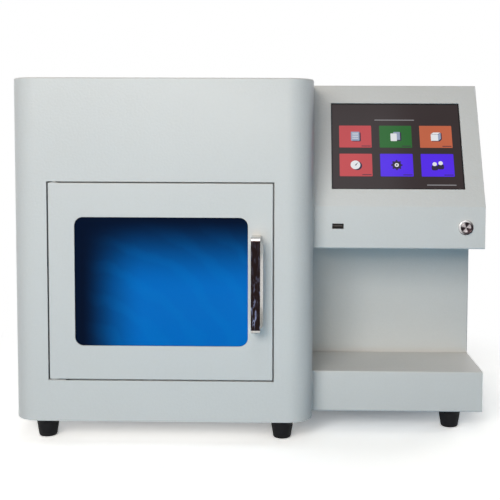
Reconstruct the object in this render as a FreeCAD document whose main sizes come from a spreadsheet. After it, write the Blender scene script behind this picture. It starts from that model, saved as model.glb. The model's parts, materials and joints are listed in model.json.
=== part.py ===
import FreeCAD, Part
import math
import os
import Sketcher

# Benchtop density meter: a sheet-steel cabinet with a windowed door in front of the sample
# chamber, and a wing on its right that carries a sloped touch display above an open niche.
# X runs to the right, Y to the back and Z up, in millimetres. The pieces are drawn from the
# cabinet's left side, its front face and the bench, and every placement then moves them so that
# the origin lies under the middle of the whole object.

Vector = FreeCAD.Vector
Rotation = FreeCAD.Rotation
doc = FreeCAD.newDocument("density_meter")

# Driving dimensions, in millimetres and degrees.
SIZES = {
    # Cabinet.
    "cabinet_width": 353,
    "cabinet_depth": 400,
    "cabinet_top": 425,
    "corner_radius": 30,
    "sheet": 1.5,
    "bend_radius": 2,
    "base_sheet": 2,
    "seat_gap": 0.2,
    "hole_play": 0.1,
    "corner_block": 12,
    # Rubber feet.
    "foot_height": 24,
    "foot_top_radius": 14,
    "foot_tip_radius": 10,
    "foot_recess_radius": 6,
    "foot_recess": 12,
    "foot_side_inset": 36,
    "foot_front_inset": 25,
    # Door opening and door.
    "opening_left": 43.7,
    "opening_bottom": 72.3,
    "opening_width": 264.1,
    "opening_height": 233.1,
    "door_gap": 1.6,
    "door_depth": 12,
    "door_edge_radius": 1,
    "jamb_room": 4,
    "jamb_back": 16,
    "pivot_inset": 6,
    "pivot_radius": 2.5,
    "pivot_play": 0.05,
    "bush_radius": 4,
    "bush_flange_radius": 5.5,
    "bush_flange": 0.8,
    "bush_length": 6,
    "bracket_width": 20,
    "moving_gap": 0.3,
    # Window.
    "window_left_margin": 31.9,
    "window_right_margin": 30.5,
    "window_lower_margin": 41.4,
    "window_upper_margin": 41.2,
    "window_radius": 10,
    "gasket_thickness": 1,
    "pane_margin": 5,
    "pane_thickness": 4,
    "retainer_lip": 4,
    "seal_width": 8,
    "seal_inset": 5,
    "seal_thickness": 3.7,
    "magnet_height": 40,
    "magnet_width": 8,
    "catch_gap": 0.6,
    # Bow handle.
    "handle_inset": 20.4,
    "handle_z": 189.2,
    "handle_length": 110,
    "handle_width": 10.7,
    "handle_reach": 27,
    "handle_bar": 9,
    "handle_post": 11,
    "handle_end_radius": 5,
    "handle_screw_radius": 2,
    "handle_screw_depth": 12,
    # Sample chamber behind the door.
    "chamber_left_inset": 16.3,
    "chamber_right_inset": 24.8,
    "chamber_top_inset": 15.4,
    "chamber_bottom": 76,
    "chamber_back": 165,
    "chamber_bend": 4,
    "deck_inset": 10,
    "deck_front": 24,
    "deck_depth": 126,
    "deck_sheet": 1.5,
    # Measuring cell.
    "cell_y": 68,
    "cell_side": 84,
    "cell_bore": 21,
    "cell_floor": 6,
    "neck_radius": 29,
    "neck_height": 8.5,
    "neck_hole_play": 1,
    "cup_play": 0.4,
    "cup_wall": 0.8,
    "cup_height": 38,
    "plug_play": 0.08,
    "plug_depth": 11,
    "plug_flange_radius": 24,
    "plug_flange": 2.7,
    "ring_section": 1.35,
    "ring_groove": 3,
    "ring_drop": 5,
    "ring_play": 0.05,
    "stub_radius": 6,
    "knob_radius": 34,
    "knob_play": 0.3,
    "knob_skirt": 7,
    "knob_top": 4.2,
    "grip_count": 24,
    "grip_radius": 2.5,
    "grip_bite": 1,
    "cap_button_radius": 9,
    "cap_button": 1.5,
    "probe_radius": 3,
    "probe_offset": 28,
    "probe_length": 36,
    "probe_depth": 18,
    "probe_collar_radius": 5,
    "probe_collar": 4,
    # Gas circuit.
    "vessel_x": 262,
    "vessel_front": 28,
    "vessel_width": 44,
    "vessel_length": 80,
    "vessel_height": 44,
    "vessel_bore": 16,
    "vessel_bore_depth": 70,
    "vessel_plug_radius": 19,
    "vessel_plug": 4,
    "vessel_plug_spigot": 8,
    "manifold_left": 140,
    "manifold_front": 190,
    "manifold_width": 144,
    "manifold_depth": 30,
    "manifold_height": 30,
    "line_radius": 1.6,
    "line_bore": 0.8,
    "valve_count": 3,
    "valve_pitch": 45,
    "valve_first": 160,
    "valve_side": 24,
    "valve_base": 10,
    "valve_stem_radius": 5,
    "valve_stem": 34,
    "coil_width": 26,
    "coil_height": 30,
    "sensor_radius": 12,
    "sensor_length": 30,
    "sensor_plug_radius": 8,
    "sensor_plug": 14,
    "fitting_radius": 8,
    "fitting_collar": 6,
    "fitting_radius_out": 5,
    "fitting_reach": 16,
    "fitting_bore": 1.2,
    "fitting_outlet_step": 1.6,
    "fitting_inside": 10,
    "inlet_line_x": 160,
    "vent_line_x": 250,
    # Rear of the cabinet: mains inlet, fan, vents.
    "supply_left": 45,
    "supply_back_gap": 10,
    "supply_width": 100,
    "supply_depth": 140,
    "supply_height": 45,
    "slot_width": 3,
    "slot_length": 60,
    "slot_pitch": 8,
    "slot_count": 9,
    "mains_x": 72,
    "mains_z": 120,
    "mains_width": 31,
    "mains_height": 52,
    "mains_flange": 3,
    "mains_body_width": 27,
    "mains_body_height": 46,
    "mains_body_depth": 30,
    "mains_mouth_width": 24,
    "mains_mouth_height": 17,
    "mains_mouth_depth": 17,
    "mains_mouth_drop": 11,
    "mains_pin_height": 4,
    "mains_pin_thickness": 2,
    "mains_pin_spread": 7,
    "mains_pin_rise": 3,
    "mains_earth_rise": 4,
    "drawer_width": 22,
    "drawer_height": 11,
    "drawer_depth": 24,
    "drawer_rise": 13,
    "drawer_play": 0.3,
    "drawer_lip": 1.2,
    "fan_x": 176.5,
    "fan_z": 330,
    "fan_size": 60,
    "fan_depth": 25,
    "fan_bore": 27.5,
    "fan_hub_radius": 12,
    "fan_hub_depth": 16,
    "fan_tip_play": 2,
    "fan_rotor_gap": 0.5,
    "fan_blade_root": 3,
    "fan_blade_sweep": 5,
    "fan_pin_radius": 3,
    "fan_pin_play": 0.06,
    "fan_arm_width": 6,
    "fan_arm_depth": 4,
    "fan_blade_count": 7,
    "fan_blade_thickness": 1.6,
    "fan_hole_pitch": 50,
    "guard_wire": 1.4,
    "guard_ring_count": 4,
    "guard_ring_step": 7,
    "vent_left": 255,
    "vent_bottom": 200,
    # Control board on the cabinet's right wall.
    "board_front": 200,
    "board_bottom": 100,
    "board_depth": 150,
    "board_height": 140,
    "board_thickness": 1.6,
    "board_standoff": 12,
    "board_inset": 6,
    "standoff_radius": 3,
    "chip_height": 3,
    "chip_side": 18,
    "chip_count": 4,
    "chip_pitch": 32,
    "chip_rise": 60,
    # Wing.
    "wing_width": 207.8,
    "wing_front": 50,
    "niche_back": 156.2,
    "shelf_top": 73.8,
    "crease_height": 275.1,
    "console_upright": 51.2,
    "slope_angle": 28.5,
    "wing_bolt_front": 110,
    "wing_bolt_rear": 360,
    "wing_bolt_low": 48,
    "wing_bolt_high": 330,
    "wing_bolt_radius": 2.5,
    "wing_nut_radius": 4.6,
    "wing_nut": 4,
    # Display on the slope.
    "display_rise": 23.2,
    "display_width": 162,
    "display_height": 121.5,
    "glass_margin": 6,
    "glass_thickness": 1.8,
    "panel_thickness": 8,
    "bracket_sheet": 2,
    "bracket_flange": 20,
    # Data port and power button in the console's upright front.
    "port_inset": 30.2,
    "port_drop": 24.2,
    "port_width": 12.5,
    "port_height": 5.1,
    "port_wall": 0.35,
    "port_depth": 14,
    "port_plug_depth": 3,
    "tongue_thickness": 1.8,
    "tongue_margin": 0.7,
    "tongue_rise": 2.3,
    "tongue_setback": 0.8,
    "button_inset": 23.6,
    "button_drop": 24.9,
    "button_flange_radius": 9.1,
    "button_flange": 2,
    "button_barrel_radius": 7.9,
    "button_barrel": 26,
    "button_cap_radius": 6,
    "button_cap_play": 0.1,
    "button_proud": 0.6,
    "button_cap_length": 14,
    "button_chamfer": 0.8,
    "button_cap_chamfer": 0.4,
    "button_travel": 2.5,
    "button_spare": 1.5,
    "button_hollow": 8,
    "button_hollow_radius": 4.6,
    "spring_radius": 4.4,
    "spring_bore": 3.4,
    "button_nut_radius": 11,
    "button_nut": 3,
    # Screws.
    "screw_radius": 2,
    "screw_head_radius": 3.8,
    "screw_head": 2.4,
    "screw_length": 10,
    "screw_inset": 10,
}

# Places that follow from the sizes.
PLACES = {
    "rear_reach": "cabinet_depth + fitting_reach",
    "wing_left": "cabinet_width + sheet",
    "wing_right": "cabinet_width + wing_width",
    "origin_x": "wing_right / 2",
    "origin_y": "( rear_reach - handle_reach ) / 2",
    "inner_corner": "corner_radius - sheet",
    "base_top": "foot_height + base_sheet",
    "panel_gap": "sheet + seat_gap",
    "rear_inside": "cabinet_depth - sheet",
    "door_left": "opening_left + door_gap",
    "door_bottom": "opening_bottom + door_gap",
    "door_width": "opening_width - 2 * door_gap",
    "door_height": "opening_height - 2 * door_gap",
    "door_top": "door_bottom + door_height",
    "opening_right": "opening_left + opening_width",
    "opening_top": "opening_bottom + opening_height",
    "window_left": "opening_left + window_left_margin",
    "window_width": "opening_width - window_left_margin - window_right_margin",
    "window_bottom": "opening_bottom + window_lower_margin",
    "window_height": "opening_height - window_lower_margin - window_upper_margin",
    "pivot_x": "door_left + pivot_inset",
    "pivot_y": "pivot_inset",
    "pivot_pin_length": "bush_length + door_gap + jamb_room",
    "jamb_left": "opening_left - jamb_room - sheet",
    "jamb_bottom": "opening_bottom - jamb_room - sheet",
    "jamb_width": "opening_width + 2 * ( jamb_room + sheet )",
    "jamb_height": "opening_height + 2 * ( jamb_room + sheet )",
    "block_half": "corner_block / 2",
    "pane_front": "sheet + gasket_thickness",
    "pane_back": "pane_front + pane_thickness",
    "retainer_front": "door_depth - sheet",
    "handle_x": "opening_right - handle_inset",
    "handle_bottom": "handle_z - handle_length / 2",
    "handle_top": "handle_z + handle_length / 2",
    "handle_left": "handle_x - handle_width / 2",
    "handle_low_screw": "handle_bottom + handle_post / 2",
    "handle_high_screw": "handle_top - handle_post / 2",
    "chamber_left": "opening_left + chamber_left_inset",
    "chamber_right": "opening_right - chamber_right_inset",
    "chamber_width": "chamber_right - chamber_left",
    "chamber_top": "opening_top - chamber_top_inset",
    "chamber_height": "chamber_top - chamber_bottom",
    "mouth_bottom": "door_bottom + seal_inset + seal_width + sheet",
    "liner_under": "chamber_bottom - sheet",
    "catch_left": "chamber_right + catch_gap",
    "deck_left": "chamber_left + deck_inset",
    "deck_width": "chamber_width - 2 * deck_inset",
    "cell_x": "chamber_left + chamber_width / 2",
    "cell_half": "cell_side / 2",
    "cell_left": "cell_x - cell_side / 2",
    "cell_front": "cell_y - cell_side / 2",
    "cell_back": "cell_y + cell_side / 2",
    "neck_top": "liner_under + neck_height",
    "cup_bottom": "base_top + cell_floor + seat_gap",
    "plug_bottom": "neck_top - plug_depth",
    "plug_top": "neck_top + moving_gap + plug_flange",
    "ring_middle": "neck_top - ring_drop",
    "ring_half": "ring_groove / 2",
    "ring_path": "cell_bore - ring_play - ring_section",
    "ring_seat": "ring_path - ring_section - ring_play",
    "knob_under": "plug_top + moving_gap",
    "knob_over": "knob_under + knob_top",
    "vessel_left": "vessel_x - vessel_width / 2",
    "line_height": "base_top + vessel_height / 2",
    "vessel_back": "vessel_front + vessel_length",
    "manifold_back": "manifold_front + manifold_depth",
    "manifold_half": "manifold_depth / 2",
    "manifold_middle": "manifold_front + manifold_half",
    "valve_half": "valve_side / 2",
    "coil_half": "coil_width / 2",
    "manifold_top": "base_top + manifold_height",
    "mains_bottom": "mains_z - mains_height / 2",
    "mains_body_left": "mains_x - mains_body_width / 2",
    "mains_body_bottom": "mains_z - mains_body_height / 2",
    "mains_left": "mains_x - mains_width / 2",
    "mains_face": "cabinet_depth + mains_flange",
    "mains_mouth_left": "mains_x - mains_mouth_width / 2",
    "mains_mouth_bottom": "mains_z - mains_mouth_drop - mains_mouth_height / 2",
    "mains_pin_left": "mains_x - mains_pin_thickness / 2",
    "mains_pin_bottom": "mains_mouth_bottom + mains_pin_rise",
    "drawer_left": "mains_x - drawer_width / 2",
    "drawer_bottom": "mains_z + drawer_rise - drawer_height / 2",
    "fan_half": "fan_size / 2",
    "fan_arm_half": "fan_arm_width / 2",
    "fan_back": "rear_inside - seat_gap",
    "fan_front": "fan_back - fan_depth",
    "fan_rotor_front": "fan_front + fan_arm_depth + fan_rotor_gap",
    "fan_hole": "fan_hole_pitch / 2",
    "fan_blade_start": "fan_hub_radius - fan_blade_root",
    "fan_blade_length": "fan_bore - fan_tip_play - fan_blade_start",
    "board_face": "cabinet_width - sheet - board_standoff",
    "console_bottom": "crease_height - console_upright",
    "slope_top": "wing_front + ( cabinet_top - crease_height ) * tan( slope_angle )",
    "inner_crease": "crease_height - sheet * tan( slope_angle / 2 )",
    "inner_slope_top": "wing_front + ( sheet + ( cabinet_top - sheet - crease_height )"
                       " * sin( slope_angle ) ) / cos( slope_angle )",
    "display_left": "cabinet_width + ( wing_width - display_width ) / 2",
    "glass_left": "display_left - glass_margin",
    "glass_low": "display_rise - glass_margin",
    "glass_width": "display_width + 2 * glass_margin",
    "glass_height": "display_height + 2 * glass_margin",
    "panel_front": "sheet + glass_thickness",
    "panel_back": "panel_front + panel_thickness",
    "bracket_left": "glass_left - seat_gap - bracket_sheet",
    "bracket_right": "glass_left + glass_width + seat_gap",
    "port_z": "crease_height - port_drop",
    "port_left": "cabinet_width + port_inset - port_width / 2",
    "port_bottom": "port_z - port_height / 2",
    "button_x": "wing_right - button_inset",
    "button_z": "crease_height - button_drop",
    "button_bore": "button_cap_radius + button_cap_play",
    "button_face": "0 - button_flange - button_proud",
    "button_cap_back": "button_face + button_cap_length",
    "button_floor": "button_cap_back + button_travel + button_spare",
    "button_hollow_front": "button_cap_back - button_hollow",
    "spring_front": "button_hollow_front + button_travel + moving_gap",
}


def formula(text):
    """Turn a sum of named sizes into a FreeCAD expression."""
    words = []
    for word in text.split():
        if word in SIZES:
            word = "Sizes." + word
        elif word in PLACES:
            word = "Places." + word
        words.append(word)
    return " ".join(words)


def add_sheet(name, rows):
    """Write a sheet with one named cell for each row."""
    sheet = doc.addObject("Spreadsheet::Sheet", name)
    for row, (alias, content) in enumerate(rows.items(), start=1):
        sheet.set(f"A{row}", alias)
        sheet.set(f"B{row}", content)
        sheet.setAlias(f"B{row}", alias)
    return sheet


sizes = add_sheet("Sizes", {name: str(size) for name, size in SIZES.items()})
places = add_sheet("Places", {name: "=" + formula(text) for name, text in PLACES.items()})
doc.recompute()


def value(text):
    """The number that a sum of named sizes comes to now."""
    total = 0.0
    sign = 1
    for word in text.split():
        if word in ("+", "-"):
            sign = 1 if word == "+" else -1
        elif word in SIZES:
            total += sign * sizes.get(word)
        elif word in PLACES:
            total += sign * places.get(word)
        else:
            total += sign * float(word)
    return total


def bind(item, **expressions):
    """Bind properties of an object to sums of named sizes."""
    for prop, text in expressions.items():
        item.setExpression(prop, formula(text))


pieces = []


def keep(item, label):
    """Name a finished sub-part and mark it for writing."""
    item.Label = label
    pieces.append(item)
    return item


def place(item, x, y, z):
    """Put an object's own origin at a point given from the cabinet's corner."""
    item.setExpression("Placement.Base.x", formula(f"{x} - origin_x"))
    item.setExpression("Placement.Base.y", formula(f"{y} - origin_y"))
    item.setExpression("Placement.Base.z", formula(z))


# Part Design helpers.


def loose_body(label, x="0", y="0", z="0"):
    """A body whose own origin lies at a point given from the cabinet's corner."""
    body = doc.addObject("PartDesign::Body", label)
    place(body, x, y, z)
    return body


def new_body(label, x="0", y="0", z="0"):
    """A body that is a sub-part by itself."""
    return keep(loose_body(label, x, y, z), label)


def origin_feature(body, role):
    """One of the body's own origin planes or axes."""
    return next(item for item in body.Origin.OriginFeatures if item.Role == role)


def sketch_on(body, plane, start):
    """A sketch on an origin plane, moved to start; 'slope' is the display's inclined plane."""
    sketch = body.newObject("Sketcher::SketchObject", body.Label + "_sketch")
    role = "XZ_Plane" if plane == "slope" else plane
    sketch.AttachmentSupport = [(origin_feature(body, role), "")]
    sketch.MapMode = "FlatFace"
    depth = formula(start)
    if plane == "slope":
        sketch.AttachmentOffset = FreeCAD.Placement(Vector(), Rotation(Vector(1, 0, 0), -1))
        height = formula("crease_height")
        front = formula("wing_front")
        angle = formula("slope_angle")
        sketch.setExpression("AttachmentOffset.Base.y", f"{height} - ({depth}) * sin({angle})")
        sketch.setExpression("AttachmentOffset.Base.z", f"-({front} + ({depth}) * cos({angle}))")
        sketch.setExpression("AttachmentOffset.Rotation.Angle", f"-{angle}")
    elif plane == "XZ_Plane":
        sketch.setExpression("AttachmentOffset.Base.z", f"-({depth})")
    else:
        sketch.setExpression("AttachmentOffset.Base.z", depth)
    return sketch


def hold_point(sketch, geometry, point, x, y):
    """Fix a sketch point at named distances from the sketch's origin."""
    for kind, text in (("DistanceX", x), ("DistanceY", y)):
        datum = Sketcher.Constraint(kind, -1, 1, geometry, point, value(text))
        index = sketch.addConstraint(datum)
        sketch.setExpression(f"Constraints[{index}]", formula(text))


def draw_polygon(sketch, corners):
    """A closed outline through corners given as named sums."""
    first = sketch.GeometryCount
    count = len(corners)
    points = [Vector(value(x), value(y), 0) for x, y in corners]
    for index in range(count):
        sketch.addGeometry(Part.LineSegment(points[index], points[(index + 1) % count]))
    for index in range(count):
        following = first + (index + 1) % count
        sketch.addConstraint(Sketcher.Constraint("Coincident", first + index, 2, following, 1))
    for index, (x, y) in enumerate(corners):
        hold_point(sketch, first + index, 1, x, y)


def draw_rectangle(sketch, left, bottom, width, height):
    """An upright rectangle from its lower left corner."""
    right = f"{left} + {width}"
    top = f"{bottom} + {height}"
    draw_polygon(sketch, [(left, bottom), (right, bottom), (right, top), (left, top)])


QUARTER = 90
LEFT_CORNER_START = 180
RIGHT_CORNER_START = 270


def draw_wrap(sketch, left, front, width, depth, radius):
    """A rectangle whose two front corners are rounded, as a wrapped sheet's are."""
    right = f"{left} + {width}"
    back = f"{front} + {depth}"
    left_centre = f"{left} + {radius}"
    right_centre = f"{right} - {radius}"
    centre_depth = f"{front} + {radius}"
    corners = [
        (left, centre_depth), (left, back), (right, back), (right, centre_depth),
        (right_centre, front), (left_centre, front),
    ]
    points = [Vector(value(x), value(y), 0) for x, y in corners]
    for index in (0, 1, 2, 4):
        sketch.addGeometry(Part.LineSegment(points[index], points[index + 1]))
    for centre_x, start in ((right_centre, RIGHT_CORNER_START), (left_centre, LEFT_CORNER_START)):
        centre = Vector(value(centre_x), value(centre_depth), 0)
        circle = Part.Circle(centre, Vector(0, 0, 1), value(radius))
        end = math.radians(start + QUARTER)
        sketch.addGeometry(Part.ArcOfCircle(circle, math.radians(start), end))
    for line, corner in ((0, 0), (1, 1), (2, 2), (3, 4)):
        hold_point(sketch, line, 1, *corners[corner])
    hold_point(sketch, 2, 2, *corners[3])
    hold_point(sketch, 3, 2, *corners[5])
    joints = ((0, 2, 1, 1), (1, 2, 2, 1), (2, 2, 4, 2), (4, 1, 3, 1), (3, 2, 5, 2), (5, 1, 0, 1))
    for joint in joints:
        sketch.addConstraint(Sketcher.Constraint("Coincident", *joint))
    for arc in (4, 5):
        datum = sketch.addConstraint(Sketcher.Constraint("Radius", arc, value(radius)))
        sketch.setExpression(f"Constraints[{datum}]", formula(radius))


def draw_circle(sketch, x, y, radius):
    """A circle with named centre and radius."""
    circle = Part.Circle(Vector(value(x), value(y), 0), Vector(0, 0, 1), value(radius))
    index = sketch.addGeometry(circle)
    hold_point(sketch, index, 3, x, y)
    datum = sketch.addConstraint(Sketcher.Constraint("Radius", index, value(radius)))
    sketch.setExpression(f"Constraints[{datum}]", formula(radius))


def extrude(body, kind, plane, start, length, draw, *shape):
    """Pad or pocket a drawn outline towards +X, +Y or +Z, or into the slope."""
    sketch = sketch_on(body, plane, start)
    draw(sketch, *shape)
    feature = body.newObject("PartDesign::" + kind, body.Label + "_" + kind.lower())
    feature.Profile = sketch
    bind(feature, Length=length)
    backward = plane in ("XZ_Plane", "slope")
    feature.Reversed = backward if kind == "Pad" else not backward
    return feature


def pad(body, plane, start, length, *rectangle):
    """A rectangular pad: left, bottom, width and height."""
    return extrude(body, "Pad", plane, start, length, draw_rectangle, *rectangle)


def pocket(body, plane, start, length, *rectangle):
    """A rectangular pocket: left, bottom, width and height."""
    return extrude(body, "Pocket", plane, start, length, draw_rectangle, *rectangle)


def pad_round(body, plane, start, length, *circle):
    """A round pad: centre and radius."""
    return extrude(body, "Pad", plane, start, length, draw_circle, *circle)


def drill(body, plane, start, length, *circle):
    """A round hole: centre and radius."""
    return extrude(body, "Pocket", plane, start, length, draw_circle, *circle)


def pad_outline(body, plane, start, length, corners):
    """A pad with a many-cornered outline."""
    return extrude(body, "Pad", plane, start, length, draw_polygon, corners)


def pocket_outline(body, plane, start, length, corners):
    """A pocket with a many-cornered outline."""
    return extrude(body, "Pocket", plane, start, length, draw_polygon, corners)


def revolve(body, plane, corners):
    """Turn an outline of (radius, height) corners round the sketch's upright axis."""
    sketch = sketch_on(body, plane, "0")
    draw_polygon(sketch, corners)
    feature = body.newObject("PartDesign::Revolution", body.Label + "_revolution")
    feature.Profile = sketch
    feature.ReferenceAxis = (sketch, ["V_Axis"])
    feature.Angle = 360
    return feature


def repeat_round(body, feature, role, count):
    """Repeat a feature evenly round one of the body's origin axes."""
    pattern = body.newObject("PartDesign::PolarPattern", body.Label + "_pattern")
    pattern.Originals = [feature]
    pattern.Axis = (origin_feature(body, role), [""])
    pattern.Angle = 360
    bind(pattern, Occurrences=count)
    body.Tip = pattern


def repeat_along(body, feature, role, count, pitch):
    """Repeat a feature at a pitch along one of the body's origin axes."""
    pattern = body.newObject("PartDesign::LinearPattern", body.Label + "_pattern")
    pattern.Originals = [feature]
    pattern.Direction = (origin_feature(body, role), [""])
    bind(pattern, Occurrences=count, Length=f"{pitch} * ( {count} - 1 )")
    body.Tip = pattern


def edge_middle(edge):
    """The point half way along an edge."""
    return edge.valueAt((edge.FirstParameter + edge.LastParameter) / 2)


def matching_edges(body, x=None, y=None, z=None, along=None):
    """Names of the body's edges whose middle has the given coordinates."""
    doc.recompute()
    names = []
    wanted = [(axis, value(text)) for axis, text in (("x", x), ("y", y), ("z", z)) if text]
    for index, edge in enumerate(body.Tip.Shape.Edges, start=1):
        middle = edge_middle(edge)
        near = all(abs(getattr(middle, axis) - place) < 0.01 for axis, place in wanted)
        if near and along is not None:
            start = edge.Vertexes[0].Point
            run = edge.Vertexes[-1].Point - start
            near = run.Length > 1 and abs(abs(run.normalize().dot(along)) - 1) < 1e-6
        if near:
            names.append(f"Edge{index}")
    return names


ALONG_X = Vector(1, 0, 0)
ALONG_Y = Vector(0, 1, 0)
ALONG_Z = Vector(0, 0, 1)


def round_edges(body, radius, names):
    """Fillet the named edges of the body."""
    if not names:
        raise ValueError("no edges to round on " + body.Label)
    rounded = body.Tip
    fillet = body.newObject("PartDesign::Fillet", body.Label + "_fillet")
    fillet.Base = (rounded, names)
    bind(fillet, Radius=radius)
    body.Tip = fillet
    doc.recompute()


# Part helpers.

TURNS = {
    "X": Rotation(Vector(0, 1, 0), 90),
    "Y": Rotation(Vector(1, 0, 0), -90),
    "Z": Rotation(),
}


def block(name, x, y, z, width, depth, height):
    """A box from its lower front left corner."""
    box = doc.addObject("Part::Box", name)
    bind(box, Length=width, Width=depth, Height=height)
    place(box, x, y, z)
    return box


def rod(name, x, y, z, axis, radius, length):
    """A cylinder from its base point along +axis."""
    cylinder = doc.addObject("Part::Cylinder", name)
    bind(cylinder, Radius=radius, Height=length)
    cylinder.Placement = FreeCAD.Placement(Vector(), TURNS[axis])
    place(cylinder, x, y, z)
    return cylinder


def join(name, parts):
    """Fuse solids into one."""
    fuse = doc.addObject("Part::MultiFuse", name)
    fuse.Shapes = parts
    return fuse


def cut(name, base, tool):
    """Take one solid away from another."""
    result = doc.addObject("Part::Cut", name)
    result.Base = base
    result.Tool = tool
    return result


def group(label, parts):
    """Like pieces kept as separate solids in one sub-part."""
    bundle = doc.addObject("Part::Compound", label)
    bundle.Links = parts
    return keep(bundle, label)


def pipe(name, x, y, z, axis, radius, bore, length):
    """A straight tube."""
    outer = rod(name + "_outer", x, y, z, axis, radius, length)
    inner = rod(name + "_inner", x, y, z, axis, bore, length)
    return cut(name, outer, inner)


def rear_screw(name, x, y, z):
    """A pan-head screw whose head faces the back."""
    head = rod(name + "_head", x, y, z, "Y", "screw_head_radius", "screw_head")
    shank = rod(name + "_shank", x, f"{y} - screw_length", z, "Y", "screw_radius", "screw_length")
    return join(name, [head, shank])


# ---------------------------------------------------------------------------------------------
# Cabinet.

# The shell: front, sides and top of one welded wrapper, open at the back and below.
shell = new_body("cabinet_shell")
extrude(shell, "Pad", "XY_Plane", "foot_height", "cabinet_top - foot_height", draw_wrap,
        "0", "0", "cabinet_width", "cabinet_depth", "corner_radius")
rear_rim = matching_edges(shell, y="cabinet_depth", z="cabinet_top")
top_rim = [name for name in matching_edges(shell, z="cabinet_top") if name not in rear_rim]
round_edges(shell, "bend_radius", top_rim)
extrude(shell, "Pocket", "XY_Plane", "foot_height", "cabinet_top - foot_height - sheet", draw_wrap,
        "sheet", "sheet", "cabinet_width - sheet - sheet", "cabinet_depth", "inner_corner")
pocket(shell, "XZ_Plane", "0", "sheet + sheet",
       "opening_left", "opening_bottom", "opening_width", "opening_height")
for bolt_y in ("wing_bolt_front", "wing_bolt_rear"):
    for bolt_z in ("wing_bolt_low", "wing_bolt_high"):
        drill(shell, "YZ_Plane", "cabinet_width - sheet - sheet", "sheet + sheet + sheet",
              bolt_y, bolt_z, "wing_bolt_radius + hole_play")

# The floor pan, which carries the feet, the cell block and the gas circuit.
base = new_body("base_plate")
extrude(base, "Pad", "XY_Plane", "foot_height", "base_sheet", draw_wrap,
        "panel_gap", "panel_gap", "cabinet_width - panel_gap - panel_gap",
        "cabinet_depth - panel_gap - panel_gap - sheet", "inner_corner")

# The rear cover, with openings for the fan, the mains inlet, the gas lines and the vents.
rear = new_body("rear_panel")
pad(rear, "XZ_Plane", "rear_inside", "sheet", "panel_gap", "foot_height",
    "cabinet_width - panel_gap - panel_gap", "cabinet_top - foot_height - panel_gap")
drill(rear, "XZ_Plane", "rear_inside", "sheet", "fan_x", "fan_z", "fan_bore")
for line_x in ("inlet_line_x", "vent_line_x"):
    drill(rear, "XZ_Plane", "rear_inside", "sheet", line_x, "line_height",
          "fitting_radius_out + hole_play")
pocket(rear, "XZ_Plane", "rear_inside", "sheet",
       "mains_body_left - seat_gap", "mains_body_bottom - seat_gap",
       "mains_body_width + seat_gap + seat_gap", "mains_body_height + seat_gap + seat_gap")
for hole_x in ("fan_x - fan_hole", "fan_x + fan_hole"):
    for hole_z in ("fan_z - fan_hole", "fan_z + fan_hole"):
        drill(rear, "XZ_Plane", "rear_inside", "sheet", hole_x, hole_z,
              "screw_radius + hole_play")
REAR_SCREW_SPOTS = [
    (x, z)
    for x in ("panel_gap + block_half", "cabinet_width - panel_gap - block_half")
    for z in ("base_top + screw_inset", "cabinet_top - panel_gap - block_half")
]
for x, z in REAR_SCREW_SPOTS:
    drill(rear, "XZ_Plane", "rear_inside", "sheet", x, z, "screw_radius + hole_play")
vent = pocket(rear, "XZ_Plane", "rear_inside", "sheet",
              "vent_left", "vent_bottom", "slot_width", "slot_length")
repeat_along(rear, vent, "X_Axis", "slot_count", "slot_pitch")

# Small angle blocks on the shell's sides take the rear cover's screws.
corner_blocks = []
for index, (x, z) in enumerate(REAR_SCREW_SPOTS):
    on_right = x.startswith("cabinet_width")
    left = "cabinet_width - sheet - corner_block - seat_gap" if on_right else "sheet"
    bottom = f"{z} - block_half"
    body_block = block(f"corner_block_{index}", left, "rear_inside - corner_block", bottom,
                       "corner_block + seat_gap", "corner_block", "corner_block")
    hole = rod(f"corner_block_hole_{index}", x, "rear_inside - corner_block", z, "Y",
               "screw_radius + hole_play", "corner_block")
    corner_blocks.append(cut(f"corner_block_cut_{index}", body_block, hole))
case_screws = [
    rear_screw(f"rear_screw_{index}", x, "cabinet_depth", z)
    for index, (x, z) in enumerate(REAR_SCREW_SPOTS)
]

# ---------------------------------------------------------------------------------------------
# Feet: tapered rubber with a recess for the screw that holds each one to the floor above it.
FOOT_SPOTS = [
    (x, y)
    for x in ("foot_side_inset", "cabinet_width - foot_side_inset")
    for y in ("foot_front_inset", "cabinet_depth - foot_front_inset")
]
FOOT_SPOTS += [
    ("wing_right - foot_side_inset", "wing_front + foot_front_inset"),
    ("wing_right - foot_side_inset", "cabinet_depth - foot_front_inset"),
]
feet = []
for index, (x, y) in enumerate(FOOT_SPOTS):
    cone = doc.addObject("Part::Cone", f"foot_cone_{index}")
    bind(cone, Radius1="foot_tip_radius", Radius2="foot_top_radius", Height="foot_height")
    place(cone, x, y, "0")
    recess = rod(f"foot_recess_{index}", x, y, "0", "Z", "foot_recess_radius", "foot_recess")
    bore = rod(f"foot_bore_{index}", x, y, "0", "Z", "screw_radius + hole_play", "foot_height")
    feet.append(cut(f"foot_{index}", cone, join(f"foot_hollow_{index}", [recess, bore])))
    head = rod(f"foot_screw_head_{index}", x, y, "foot_recess - screw_head", "Z",
               "screw_head_radius", "screw_head")
    shank = rod(f"foot_screw_shank_{index}", x, y, "foot_recess", "Z",
                "screw_radius", "foot_height - foot_recess + base_sheet + base_sheet")
    case_screws.append(join(f"foot_screw_{index}", [head, shank]))
group("feet", feet)

# Holes for the feet in the floor pan.
for x, y in FOOT_SPOTS[:4]:
    drill(base, "XY_Plane", "foot_height", "base_sheet", x, y, "screw_radius + hole_play")

# ---------------------------------------------------------------------------------------------
# Door surround: a folded ring behind the front that carries the pivots and the liner's flange.
jamb = new_body("door_jamb")
pad(jamb, "XZ_Plane", "sheet", "jamb_back - sheet",
    "jamb_left", "jamb_bottom", "jamb_width", "jamb_height")
pocket(jamb, "XZ_Plane", "sheet", "jamb_back - sheet",
       "opening_left - jamb_room", "opening_bottom - jamb_room",
       "opening_width + jamb_room + jamb_room", "opening_height + jamb_room + jamb_room")

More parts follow.
